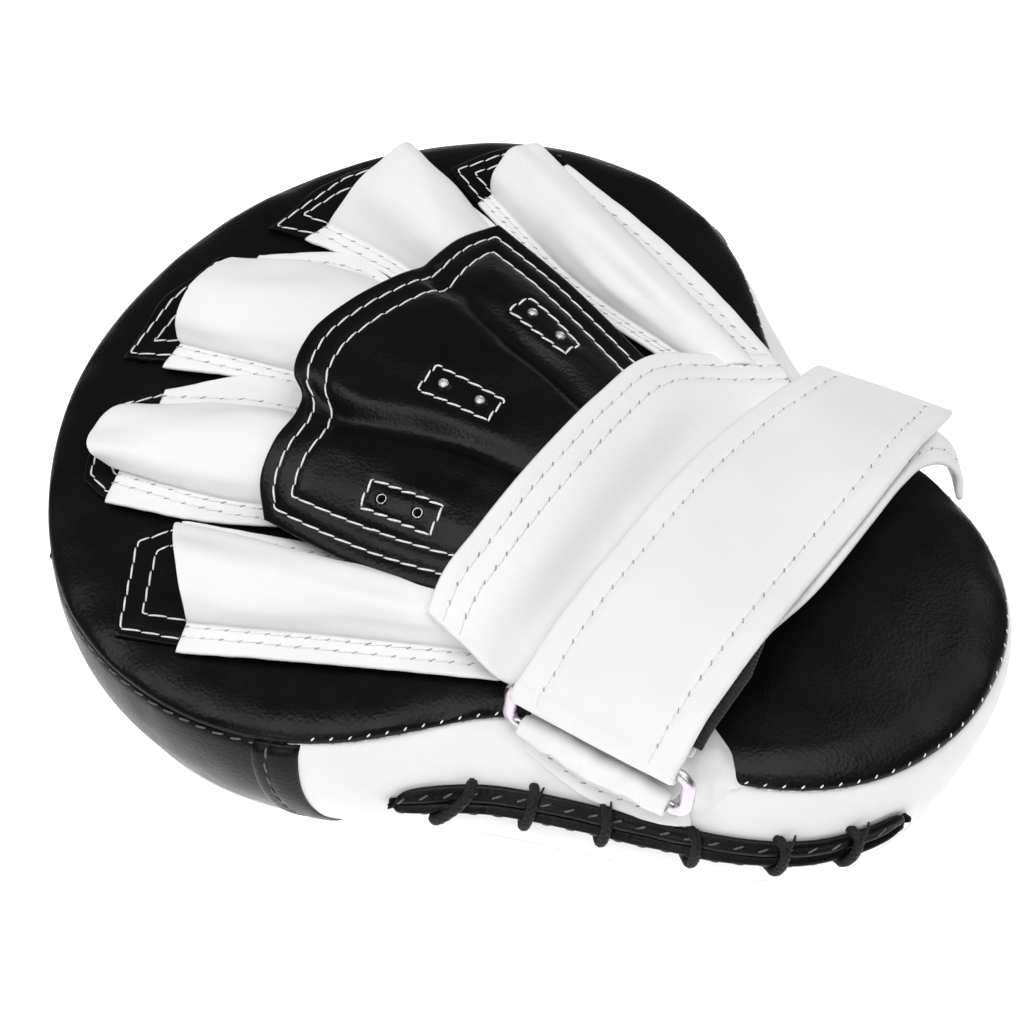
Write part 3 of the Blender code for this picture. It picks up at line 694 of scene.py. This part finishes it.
def wall_grid(start, end, columns, seed):
    angle = np.linspace(start, end, columns)[None, :]
    rise = np.linspace(0, 1, 46)[:, None]
    P = wall(angle, rise)
    below = (1 - rise) * (WALL_TOP - WALL_FOOT)
    span = np.stack(np.broadcast_arrays(np.radians(angle) * 90, below / 2.5, 0 * below), axis=-1)
    pucker = 0.5 * rumple(span, 7.0, seed) * (np.exp(-below / 7) * np.clip(below / 1.5, 0, 1))
    soft = 0.5 * rumple(P, 24, seed + 5)
    return swell(P, pucker + soft), angle, rise


def make_walls():
    P = wall_grid(JUNCTION - 0.3, 0.3 - JUNCTION, 300, 2.0)[0]
    wall_black = skin("pad_wall_fingers", P, LEATHER, LOOK["black"])
    finish_piece(wall_black, "black_leather", "gusset_fingers", padded=0.7)
    stitch("wall_fingers", P, [parallel(P, "back", 2.2)], False, "black_leather", "grey_thread",
           holes=False, dash=2.6)

    start = -JUNCTION - 0.3
    P, angle, rise = wall_grid(start, -360 - start, 320, 9.0)
    slit = (-angle > SLIT_START + 2) & (-angle < SLIT_END - 2) & (np.abs(rise - slit_rise(angle)) < 0.03)
    wall_white = skin("pad_wall_wrist", P, LEATHER, LOOK["white"], keep=~slit[1:, 1:])
    finish_piece(wall_white, "white_leather", "gusset_wrist", padded=0.7)
    stitch("wall_wrist", P, [parallel(P, "back", 0.9)], pitch=4.9, dash=1.8)


def make_bindings():
    for name, side in (("near", -1), ("far", 1)):
        rise = np.linspace(0.0, 0.985, 60)[:, None]
        angle = side * (JUNCTION - 1.0 + 2.8 * (1 - rise)) + np.linspace(2.6, -2.6, 12)[None, :]
        P = wall(angle, rise, 1.4 - 0.5 * np.linspace(-1, 1, 12)[None, :] ** 4)
        P = swell(P, 0.35 * rumple(P, 12, side))
        line = parallel(P, "left" if side < 0 else "right", 3.2)
        P = press(P, [line])
        strip = skin(f"binding_{name}", P, LEATHER, LOOK["black"])
        finish_piece(strip, "black_leather", f"seam_binding_{name}")
        stitch(f"binding_{name}", P, [line], False, "black_leather", "grey_thread", holes=False, dash=3.0)


def make_slit():
    """Two rolled lips along the slit, meeting at its rounded ends."""
    share = np.linspace(0, 1, 150)[None, :]
    across = np.linspace(0, 1, 16)[:, None]
    ends = np.sqrt(np.clip(1 - np.abs(2 * share - 1) ** 24, 0.02, 1))
    angle = -(SLIT_START - 1.5 + (SLIT_END - SLIT_START + 3.0) * share)
    sag = 0.010 * np.sin(4 * np.pi * share)
    for name, side, height, roll in (("upper", 1, 0.1, 1.4), ("lower", -1, 0.075, 1.5)):
        rise = slit_rise(angle) + sag + side * (0.004 + height * ends * across)
        P = wall(angle, rise, 1.3 + roll * ends * np.sin(np.pi * np.clip(across, 0.02, 0.98)) ** 0.7)
        flip = side < 0
        P = swell(P, 0.3 * rumple(P, 9, side), flip)
        line = parallel(P, "back", 1.9 if side > 0 else 1.0)
        P = press(P, [line], depth=0.3, flip=flip)
        lip = skin(f"slit_{name}", P, LEATHER, LOOK["black"], flip=flip)
        finish_piece(lip, "black_leather", f"slit_lip_{name}", padded=0.4)
        stitch(f"slit_{name}", P, [line], flip, "black_leather", "grey_thread",
               holes=False, pitch=5.4, dash=2.2, radius=0.25, slant=0.5)


def braid(place, turn):
    """Radius of a round braid: strands that cross as they go round."""
    one = np.abs(np.sin(2 * turn + place * 0.42))
    two = np.abs(np.sin(2 * turn - place * 0.42))
    return 0.76 + 0.32 * np.maximum(one, two) ** 1.5


def make_ties():
    """Short held ties over the lips: each dives into the wall above and below, with a cut tail."""
    for number, angle in enumerate(TIE_ANGLES, start=1):
        lean = 2.6 if number == 1 else random.uniform(0.4, 1.1)
        bow = []
        for turn in np.linspace(-0.5 * math.pi, 0.5 * math.pi, 70):
            place = -angle - lean * math.sin(turn)
            reach = -0.6 + 4.6 * abs(math.cos(turn)) ** 0.3
            bow.append(wall(place, slit_rise(angle) + 0.005 + 0.1 * math.sin(turn), reach))
        bow = np.array(bow)
        out = unit(bow * (1, 1, 0))
        size = TIE_RADIUS * (1.08 if number == 1 else 1.0)
        tie = Batch()
        tie.take(*tube(bow, size, 20, out, 0.9, weave=braid))
        tip = bow[-6] + out[-6] * 0.4
        side = -angle - lean - random.uniform(0.5, 1.6)
        aim = wall(side, slit_rise(angle) + random.uniform(0.14, 0.165), 1.4)
        steps = np.linspace(0, 1, 14)[:, None]
        tail = tip + (aim - tip) * steps + out[-6] * np.sin(np.pi * steps) * 0.8
        tie.take(*tube(tail, size * (0.6 - 0.42 * steps[:, 0]), 10, out[-6], weave=braid))
        piece = tie.build(f"tie_{number}", LOOK["cord"])
        finish_piece(piece, "black_cord", f"lace_tie_{number}")


def make_strike_face():
    share, angle = disc_grid(150, 1.15)
    radius = share * (outline(angle) + foot_reach(angle))
    height = STRIKE_LEVEL + STRIKE_EDGE_RISE * share**12
    P = polar(radius, angle, height)
    P = P - (0, 0, 1) * (0.25 * rumple(P, 30, 6.0) * (1 - share**4))[..., None]
    turns = np.linspace(0, 2 * math.pi, 361)
    ring = polar(outline(turns) + foot_reach(turns) - 5.0, turns, STRIKE_LEVEL)
    P = press(P, [ring], depth=0.25, flip=True)
    face = skin("pad_strike_face", P, LEATHER, LOOK["white"], flip=True)
    finish_piece(face, "white_leather", "strike_panel", padded=0.7)
    sewing = Sewing(P, True)
    sewing.row(ring)

    share, angle = disc_grid(70)
    height = 0.45 + 0.5 * share**20 - 0.04 * np.cos(share * 40)
    P = polar(share * TARGET_RADIUS, angle, height)
    reach = TARGET_RADIUS - 3.0
    rings = [polar(reach - inset, turns, 0.0) for inset in (0.0, 3.0)]
    P = press(P, rings, depth=-0.3, flip=True)
    patch = skin("strike_target", P, 0.9, LOOK["black"], flip=True)
    finish_piece(patch, "black_leather", "target_patch")
    sewing.finish("strike_face")
    stitch("target", P, rings, True, "black_leather", holes=False)


# ---------------------------------------------------------------- glove

FLANGE_COLUMNS = 9
ARCH_COLUMNS = 52
STALL_ROWS = 64
OVERHANG = 0.18


def stall_grid(name):
    """u runs from the left edge over the arch to the right edge, v from the root to the mouth."""
    stations = STALLS[name][::-1]
    v = np.linspace(0, 1, STALL_ROWS)
    edges = [spline([station[0][k] for station in stations], v) for k in range(4)]
    height = np.polyval(np.polyfit((0, 0.5, 1), [station[1] for station in stations], 2), v)[:, None]
    flange = np.linspace(0, 1, FLANGE_COLUMNS)[:, None, None]
    left = edges[0] + (edges[1] - edges[0]) * flange
    right = edges[2] + (edges[3] - edges[2]) * flange
    turn = np.linspace(-OVERHANG, math.pi + OVERHANG, ARCH_COLUMNS)
    across = (0.5 - 0.5 * np.cos(turn) / math.cos(OVERHANG))[:, None, None]
    lift = (np.sin(turn) + math.sin(OVERHANG)) / (1 + math.sin(OVERHANG))
    arch = edges[1] + (edges[2] - edges[1]) * across
    flat = np.concatenate([left[:-1], arch, right[1:]]).transpose(1, 0, 2)
    lift = np.concatenate([np.zeros(FLANGE_COLUMNS - 1), lift, np.zeros(FLANGE_COLUMNS - 1)])[None, :]
    ahead = unit(flat[-1:].mean(axis=1) - flat[:1].mean(axis=1))
    reach, lean = STALL_REACH[name]
    push = (lift * np.clip((v[:, None] - 0.3) / 0.7, 0, 1) ** 1.6)[..., None]
    aside = ahead[:, ::-1] * (1, -1)
    flat = flat + push * (reach * ahead + lean * aside)[:, None]
    base = pad_top(flat[..., 0], flat[..., 1]) + 2 * LAYER_GAP + PATCH + STALL_SKIN
    return np.dstack([flat, base + height * lift]), lift


def make_stalls():
    for seed, name in enumerate(STALLS):
        P, lift = stall_grid(name)
        columns = np.arange(P.shape[1])[None, :]
        rows = np.arange(P.shape[0])[:, None]
        local = np.stack(np.broadcast_arrays(columns * 0.9, rows * 1.0, 0 * rows), axis=-1)
        folds = 1.6 * rumple(local, 9, seed * 3.1, (1, 2.6, 1)) * np.clip(lift * 2, 0, 1)
        folds = folds * np.clip(rows / 24, 0.15, 1)
        ripple = 0.45 * rumple(local, 7, seed + 8.0, (2, 1, 1)) * (1 - np.clip(lift * 3, 0, 1))
        P = swell(P, folds + np.abs(ripple))
        lines = []
        for side in ("left", "right"):
            foot = FLANGE_COLUMNS - 1 if side == "left" else P.shape[1] - FLANGE_COLUMNS
            edge = 0 if side == "left" else P.shape[1] - 1
            width = np.linalg.norm(P[:, foot] - P[:, edge], axis=1)
            for gap in (1.3, 4.0):
                share = np.minimum(gap, width - 1.0) / width
                lines.append(on(P, np.arange(STALL_ROWS)[2:], (foot + (edge - foot) * share)[2:]))
        P = press(P, lines, depth=0.3)
        stall = skin(f"finger_stall_{name}", P, STALL_SKIN, LOOK["white"])
        finish_piece(stall, "white_leather", f"stall_{name}")
        stitch(f"stall_{name}", P, lines)


# Stitched outline of each stall's black patch, ahead of the mouth: outer row, then inner row
PATCHES = {
    "near": (((-86, 36), (-88, 40), (-93, 54), (-71, 66), (-62, 60), (-58, 55)),
             ((-81.5, 38), (-83, 42), (-87, 52), (-71, 60.5), (-64, 56.5))),
    "index": (((-60, 74), (-63, 82), (-61, 88.5), (-56, 91), (-39, 95.5), (-31, 89),
               (-28, 84)),
              ((-55.5, 78), (-58, 83.5), (-55, 87), (-39.5, 91), (-34, 86))),
    "middle": (((-18, 91), (-20, 96), (-25, 105), (-5, 107.5), (12, 106), (18, 96)),
               ((-13, 92), (-14, 96), (-18.5, 102.5), (-5, 103.5), (10, 102), (14, 95))),
    "ring": (((34.5, 86), (34, 91), (31, 101), (55, 96.5), (63, 92), (64.5, 84)),
             ((39.5, 86), (39, 90), (38, 97.5), (50, 94.5), (59, 89.5), (60, 83))),
    "far": (((68, 54), (68.5, 62), (74, 73), (89.5, 64), (92, 56), (88, 47)),
            ((71.5, 54), (72, 61), (75.5, 68.5), (86.5, 62), (88, 56), (85, 49))),
}
PATCH_MARGIN = 2.0


def make_patches():
    for name, (outer, inner) in PATCHES.items():
        root = STALLS[name][2][0]
        tip = resample(outer, 1.2)
        heart = tip.mean(axis=0)
        front = tip + unit(tip - heart) * PATCH_MARGIN
        share = np.linspace(0, 1, len(front))[:, None]
        back = np.array(root[1]) + (np.array(root[2]) - np.array(root[1])) * share
        along = np.linspace(0, 1, 60)[:, None, None]
        flat = back + (front - back) * along
        P = np.dstack([flat, pad_top(flat[..., 0], flat[..., 1]) + LAYER_GAP + PATCH])
        lines = []
        for line in (outer, inner):
            line = np.array(line)
            lines.append(np.column_stack([line, pad_top(line[:, 0], line[:, 1]) + LAYER_GAP + PATCH]))
        dense = [resample(line, 0.8) for line in lines]
        P = press(P, dense, depth=0.25)
        patch = skin(f"stall_patch_{name}", P, PATCH, LOOK["black"])
        finish_piece(patch, "black_leather", f"stall_base_{name}")
        stitch(f"patch_{name}", P, dense, slot="black_leather", holes=False)


VENTS = (((-39.5, 12.0), (-0.10, 1.0)), ((-4.8, 18.2), (-0.06, 1.0)), ((28.2, 14.8), (0.20, 0.98)))
VENT_SIZE = (8.4, 19.0)
EYELET_SPREAD = 4.9
EYELET_RADIUS = 1.35
EYELET_BORE = 0.9
EYELET_HOLE = 1.0


def vent_outline(centre, ahead):
    """The hand-sewn rectangle round a vent, with small uneven corners."""
    ahead = np.array(ahead) / np.linalg.norm(ahead)
    aside = np.array((ahead[1], -ahead[0]))
    corners = []
    for a, b in ((-1, -1), (1, -1), (1, 1), (-1, 1), (-1, -1)):
        corners.append(np.array(centre) + aside * a * VENT_SIZE[0] / 2 + ahead * b * VENT_SIZE[1] / 2)
    line = resample(corners, 1.0)
    return np.column_stack([line, np.full(len(line), 67.0)])


def eyelet_profile():
    """Rolled rim of an eyelet, from its outer edge over the top and down the bore."""
    turns = np.linspace(0, math.pi, 8)
    middle = (EYELET_RADIUS + EYELET_BORE) / 2
    half = (EYELET_RADIUS - EYELET_BORE) / 2
    sleeve = EYELET_BORE + 0.25
    rim = [(middle + half * math.cos(t), 0.12 + 0.55 * math.sin(t)) for t in turns]
    return rim + [(EYELET_BORE, -2.4), (sleeve, -2.4), (sleeve, -0.1), (EYELET_RADIUS, -0.1)]


def make_eyelet(name, spot, up, node):
    aside = unit(np.cross(up, (0.0, 1.0, 0.0)))
    ahead = np.cross(up, aside)
    profile = eyelet_profile()
    sides = 28
    turns = 2 * np.pi * np.arange(sides) / sides
    vertices = []
    for radius, level in profile:
        for t in turns:
            vertices.append(spot + up * level + radius * (math.cos(t) * aside + math.sin(t) * ahead))
    faces = []
    for k in range(len(profile)):
        n = (k + 1) % len(profile)
        for j in range(sides):
            m = (j + 1) % sides
            faces.append([k * sides + j, k * sides + m, n * sides + m, n * sides + j])
    eyelet = make_object(name, vertices, faces, LOOK["nickel"], "root")
    eyelet.data.set_sharp_from_angle(angle=math.radians(50))
    finish_piece(eyelet, "nickel", node)


def knuckle_surface():
    """The panel puffed between its creases, then its two edge rows and the outlines of its vents."""
    P = loft(KNUCKLE_ROWS, np.linspace(0, 1, 150), np.linspace(0, 1, 100))
    tree = tree_of(P, True)
    creases = []
    for crease in CREASES:
        route = spline([(*point, 68.0) for point in crease], np.linspace(0, 1, 60))
        creases.append(spots_on(tree, route)[0])
    edge = np.minimum(travelled(P, 0), np.minimum(travelled(P, 1), travelled(P, 1, True)))
    puff = np.clip((edge - 7) / 10, 0, 1)
    puff = puff * puff * (3 - 2 * puff)
    valley = nearness(P, creases, 4.2)
    shoulder = nearness(P, creases, 9.5)
    fade = np.clip(edge / 5, 0.25, 1)
    soft = 1.3 * rumple(P, 11, 4.0, (1, 3.0, 1)) + 0.45 * rumple(P, 6, 1.0, (1, 2.6, 1))
    P = swell(P, 0.9 * puff + 0.8 * shoulder * puff - 2.9 * valley * fade + soft * puff, True)
    rows = []
    for inset in (3.4, 8.4):
        rows.append(np.concatenate([
            parallel(P, "left", inset, [("front", inset)])[::-1],
            parallel(P, "front", inset, [("left", inset), ("right", inset)]),
            parallel(P, "right", inset, [("front", inset)])]))
    tree = tree_of(P, True)
    vents = [spots_on(tree, vent_outline(centre, ahead))[0] for centre, ahead in VENTS]
    P = press(P, rows, depth=0.4, width=1.0, flip=True)
    return press(P, vents, depth=0.3, flip=True), rows, vents


def eyelet_places(P):
    """Each eyelet's node with its spot on the panel and the way up there."""
    tree = tree_of(P, True)
    places = []
    for number, (centre, ahead) in enumerate(VENTS, start=1):
        for end, side in (("front", 1), ("rear", -1)):
            spot = np.array(centre) + np.array(ahead) * side * EYELET_SPREAD
            on_panel, up = spots_on(tree, [(*spot, 67.0)])
            places.append((f"eyelet_{number}_{end}", on_panel[0], up[0]))
    return places


def make_lining(node, spot, up):
    """The white disc seen down an eyelet's bore."""
    lining = Batch()
    route = np.array([spot - up * 0.5, spot - up * 0.35, spot + up * 0.05])
    lining.take(*tube(route, 0.92, 16, (0, 1, 0.2)))
    finish_piece(lining.build(f"{node}_lining", LOOK["white"]), "white_leather")


def make_knuckle_panel():
    P, rows, vents = knuckle_surface()
    places = eyelet_places(P)
    keep = np.ones((P.shape[0] - 1, P.shape[1] - 1), bool)
    cells = (P[:-1, :-1] + P[1:, 1:]) / 2
    for node, spot, up in places:
        keep &= np.linalg.norm(cells - spot, axis=-1) > EYELET_HOLE
    panel = skin("knuckle_cover", P, LEATHER, LOOK["black"], flip=True, keep=keep)
    finish_piece(panel, "black_leather", "knuckle_panel", padded=0.4)
    for node, spot, up in places:
        make_eyelet(f"{node}_rim", spot, up, node)
    for node, spot, up in places[2:]:
        make_lining(node, spot, up)
    sewing = Sewing(P, True)
    for line in rows:
        sewing.row(line, holes=False)
    for line in vents:
        sewing.row(line, holes=False, pitch=3.6, dash=3.5, radius=0.3, slant=0.3)
    sewing.finish("knuckle_cover", "black_leather")
    for number in (1, 2, 3):
        show_cad_node(f"vent_backing_{number}", "black")


def make_cuff():
    P = loft(CUFF_ROWS, np.linspace(0, 1, 170), np.linspace(0, 1, 60))
    flip = True
    edge = np.minimum(travelled(P, 1), travelled(P, 1, True))
    down = travelled(P, 0)
    fold = 1.0 * rumple(P, 22, 2.0, (2.2, 1, 1)) * np.clip(down / 14, 0, 1) * np.clip(edge / 12, 0.2, 1)
    P = swell(P, fold + 1.2 * np.exp(-((down - 14) / 8) ** 2), flip)
    lines = [parallel(P, "front", inset) for inset in (3.6, 8.6)]
    P = press(P, lines, depth=0.35, flip=flip)
    cuff = skin("cuff", P, 2.0, LOOK["white"], flip=flip)
    finish_piece(cuff, "white_leather", "cuff_band", padded=0.3)
    stitch("cuff", P, lines, flip)


# ---------------------------------------------------------------- strap and ring

def arc(centre, radius, start, end, count):
    turns = np.radians(np.linspace(start, end, count))
    return [(centre[0] + radius * math.cos(t), centre[1] + radius * math.sin(t)) for t in turns]


def make_flap():
    fold = arc(RING_BAR, FOLD_RADIUS, -50, -270, 11)
    rows = [[(x, edge[0][1], z) for x, z in fold] + list(edge) for edge in FLAP_EDGES]
    P = loft(rows, np.linspace(0, 1, 260), np.linspace(0, 1, 66))
    flip = True
    soft = 0.45 * rumple(P, 30, 7.0, (1.4, 1, 1)) + 0.12 * rumple(P, 9, 2.0)
    P = swell(P, soft, flip)
    lines = [parallel(P, side, 5.6, [("left", 9), ("right", 2)]) for side in ("front", "back")]
    P = press(P, lines, depth=0.4, width=1.0, flip=flip)
    flap = skin("strap_flap_cover", P, 2.2, LOOK["white"], "flap", flip=flip)
    finish_piece(flap, "white_leather", "strap_flap", padded=0.2)
    stitch("strap_flap", P, lines, flip, body="flap")


def make_lower_strap():
    P = loft(STRAP_ROWS, np.linspace(0, 1, 170), np.linspace(0, 1, 50))
    flip = True
    P = swell(P, 0.5 * rumple(P, 18, 4.0), flip)
    line = parallel(P, "back", 4.0, [("left", 3), ("right", 3)])
    P = press(P, [line], flip=flip)
    strap = skin("strap_under", P, 1.8, LOOK["white"], flip=flip)
    finish_piece(strap, "white_leather", "strap_lower", padded=0.2)
    stitch("strap_under", P, [line], flip)


def tape_grid(depth, columns, rows, low, high, front, back):
    """A grid under the flap, between shares of its length and of its width."""
    P = loft(FLAP_EDGES, np.linspace(low, high, columns), np.linspace(front, back, rows))
    return P - (0, 0, 1) * np.full(P.shape[:2], depth)[..., None]


def make_tapes():
    P = tape_grid(2.6, 200, 30, 0.16, 0.8, 0.06, 0.94)
    finish_piece(skin("tape_hook", P, 0.6, LOOK["hook"], "flap", flip=True), "hook_and_loop", "hook_tape")
    P = tape_grid(3.6, 460, 30, 0.02, 0.8, 0.06, 1.05)
    hidden = np.clip((np.linspace(0, 1, 460) - 0.2) / 0.14, 0, 1)
    P[..., 1] += 3.4 * hidden * np.linspace(0, 1, 30)[:, None] ** 3
    rib = 0.16 * np.sin(2 * np.pi * travelled(P, 1) / 1.15)
    P = swell(P, rib, True)
    finish_piece(skin("tape_loop", P, 1.5, LOOK["webbing"], flip=True), "hook_and_loop", "loop_tape")


def make_ring():
    tall = math.dist(RING_BAR, KEEPER_BAR)
    slope = ((RING_BAR[0] - KEEPER_BAR[0]) / tall, (RING_BAR[1] - KEEPER_BAR[1]) / tall)
    middle = sum(RING_ENDS) / 2
    loop = []
    for y, h, start in ((RING_ENDS[1], tall, 0), (RING_ENDS[0], tall, 90), (RING_ENDS[0], 0.0, 180),
                        (RING_ENDS[1], 0.0, 270)):
        corner_y = y - math.copysign(RING_CORNER, y - middle)
        corner_h = h - math.copysign(RING_CORNER, h - tall / 2)
        for turn in np.radians(np.linspace(start, start + 90, 9)):
            high = corner_h + RING_CORNER * math.sin(turn)
            loop.append((KEEPER_BAR[0] + slope[0] * high, corner_y + RING_CORNER * math.cos(turn),
                         KEEPER_BAR[1] + slope[1] * high))
    across = np.cross((0, 1, 0), (slope[0], 0, slope[1]))
    batch = Batch()
    batch.take(*tube(loop, 1.75, 16, across, 0.6, closed=True))
    finish_piece(batch.build("strap_ring", LOOK["nickel"], "ring"), "nickel", "ring")


# Along the keeper: y, then the angle and rise of its lower edge on the side wall
KEEPER_ROWS = ((-38.5, -121.5, 0.9), (-48, -127.5, 0.8), (-57, -132.5, 0.74), (-67, -138.5, 0.73),
               (-76, -143.5, 0.76))


def make_keeper():
    """The leather loop that holds the ring: from the side wall, round the ring's lower bar, to the panel."""
    rows = []
    for y, angle, rise in KEEPER_ROWS:
        hood = [(x, y, z) for x, z in arc(KEEPER_BAR, KEEPER_RADIUS, 170, 10, 9)]
        outer = [tuple(wall(angle, place, 1.5)) for place in (rise, rise + 0.5 * (0.98 - rise))]
        inner = [(x, y, float(pad_top(x, y)) + 2.1) for x in (-59.5, -54.0)]
        rows.append(outer + hood + inner)
    P = loft(rows, np.linspace(0, 1, 70), np.linspace(0, 1, 70))
    crumple = 0.8 * rumple(P, 6, 3.0, (1, 0.6, 1.6)) + 0.6 * rumple(P, 14, 1.0)
    P = swell(P, crumple, True)
    line = parallel(P, "left", 2.5, [("front", 2), ("back", 2)])
    P = press(P, [line], flip=True)
    keeper = skin("keeper_loop", P, LEATHER, LOOK["white"], flip=True)
    finish_piece(keeper, "white_leather", "ring_keeper", padded=0.2)
    stitch("keeper", P, [line], True)


# Along the tab, from under the strap to the seam: three points on top, then angle, rise and height
# above the side wall of two points on it
SEAM_TAB_ROWS = (
    (((-43, -71, 55), (-49, -73, 56.5), (-56, -74.5, 54.5)),
     ((-142, 0.92, 2.5), (-142.5, 0.74, -0.6))),
    (((-44.6, -79, 50.6), (-49, -80, 52.2), (-54.5, -80.5, 49.8)),
     ((-145.5, 0.92, 1.8), (-146, 0.78, -0.7))),
    (((-48, -87, 45.2), (-49.4, -86.4, 45), (-50.4, -85.9, 44.6)),
     ((-149.2, 0.96, -0.6), (-149.6, 0.9, -0.9))),
)


def make_seam_tab():
    """The under strap's leather where it is gathered down to the pad's seam beside the ring."""
    rows = [list(top) + [tuple(wall(*spot)) for spot in low] for top, low in SEAM_TAB_ROWS]
    P = loft(rows, np.linspace(0, 1, 50), np.linspace(0, 1, 50))
    inside = np.sin(np.pi * np.linspace(0, 1, 50)) ** 0.5
    crumple = 1.1 * rumple(P, 6, 5.0, (1, 1, 2)) + 0.6 * rumple(P, 3, 2.0, (1, 1, 2))
    P = swell(P, crumple * inside * inside[:, None])
    flip = normals(P)[25, 25, 2] < 0
    tab = skin("strap_seam_tab", P, LEATHER, LOOK["white"], flip=flip)
    finish_piece(tab, "white_leather", padded=0.2)


def show_cad_node(node, look):
    """A CAD node that stays in view gets a finish of its own."""
    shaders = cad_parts[node].data.materials
    shaders.clear()
    shaders.append(LOOK[look])


def dress_foam():
    for node in ("foam_core_hard", "foam_core_soft"):
        show_cad_node(node, "foam")


# ---------------------------------------------------------------- studio

TARGET = Vector((-2.3, 1.6, 45.0)) * MM
AZIMUTH = -56.8
ELEVATION = 50.8
DISTANCE = 0.65
LENS = 94.1
# Azimuth, elevation, distance in metres, size and power of each lamp
LIGHTS = {
    "top": (-57, 76, 1.3, 1.0, 10.6),
    "key": (-150, 56, 1.3, 0.6, 4.3),
    "side": (-75, 28, 1.4, 0.6, 2.9),
    "fill": (60, 50, 1.5, 0.8, 3.4),
}


def facing_vector(azimuth, elevation):
    a = math.radians(azimuth)
    e = math.radians(elevation)
    return Vector((math.sin(a) * math.cos(e), -math.cos(a) * math.cos(e), math.sin(e)))


def make_camera():
    lens = bpy.data.cameras.new("view")
    lens.lens = LENS
    lens.sensor_width = 36.0
    lens.shift_x = -0.0127
    lens.shift_y = -0.03125
    lens.clip_start = 0.02
    camera = bpy.data.objects.new("view", lens)
    bpy.context.scene.collection.objects.link(camera)
    back = facing_vector(AZIMUTH, ELEVATION)
    camera.location = TARGET + back * DISTANCE
    camera.rotation_euler = back.to_track_quat("Z", "Y").to_euler()
    bpy.context.scene.camera = camera


def make_light(name, azimuth, elevation, distance, size, power):
    lamp = bpy.data.lights.new(name, "AREA")
    lamp.shape = "SQUARE"
    lamp.size = size
    lamp.energy = power
    light = bpy.data.objects.new(name, lamp)
    bpy.context.scene.collection.objects.link(light)
    back = facing_vector(azimuth, elevation)
    light.location = TARGET + back * distance
    light.rotation_euler = back.to_track_quat("Z", "Y").to_euler()


def make_studio():
    scene = bpy.context.scene
    world = bpy.data.worlds.new("studio")
    world.use_nodes = True
    world.node_tree.nodes["Background"].inputs["Color"].default_value = (1.0, 1.0, 1.0, 1.0)
    world.node_tree.nodes["Background"].inputs["Strength"].default_value = 0.15
    scene.world = world
    scene.view_settings.view_transform = "Standard"
    for name, setting in LIGHTS.items():
        make_light(name, *setting)
    bpy.ops.mesh.primitive_plane_add(size=12.0, location=(0, 0, -0.0003))
    floor = bpy.context.object
    floor.name = "floor"
    shader, tree, bsdf, place = shader_nodes("floor_white", (0.92, 0.92, 0.92), 0.9, specular=0.1)
    tint(tree, bsdf, noise_node(tree, place, 400.0), (0.93, 0.93, 0.93), (0.95, 0.95, 0.95))
    bsdf.inputs["Emission Color"].default_value = (1.0, 1.0, 1.0, 1.0)
    bsdf.inputs["Emission Strength"].default_value = 0.65
    floor.data.materials.append(shader)


random.seed(7)
make_back_panel()
make_walls()
make_bindings()
make_slit()
make_ties()
make_strike_face()
make_patches()
make_stalls()
make_knuckle_panel()
make_cuff()
make_lower_strap()
make_tapes()
make_flap()
make_ring()
make_keeper()
make_seam_tab()
dress_foam()
make_camera()
make_studio()
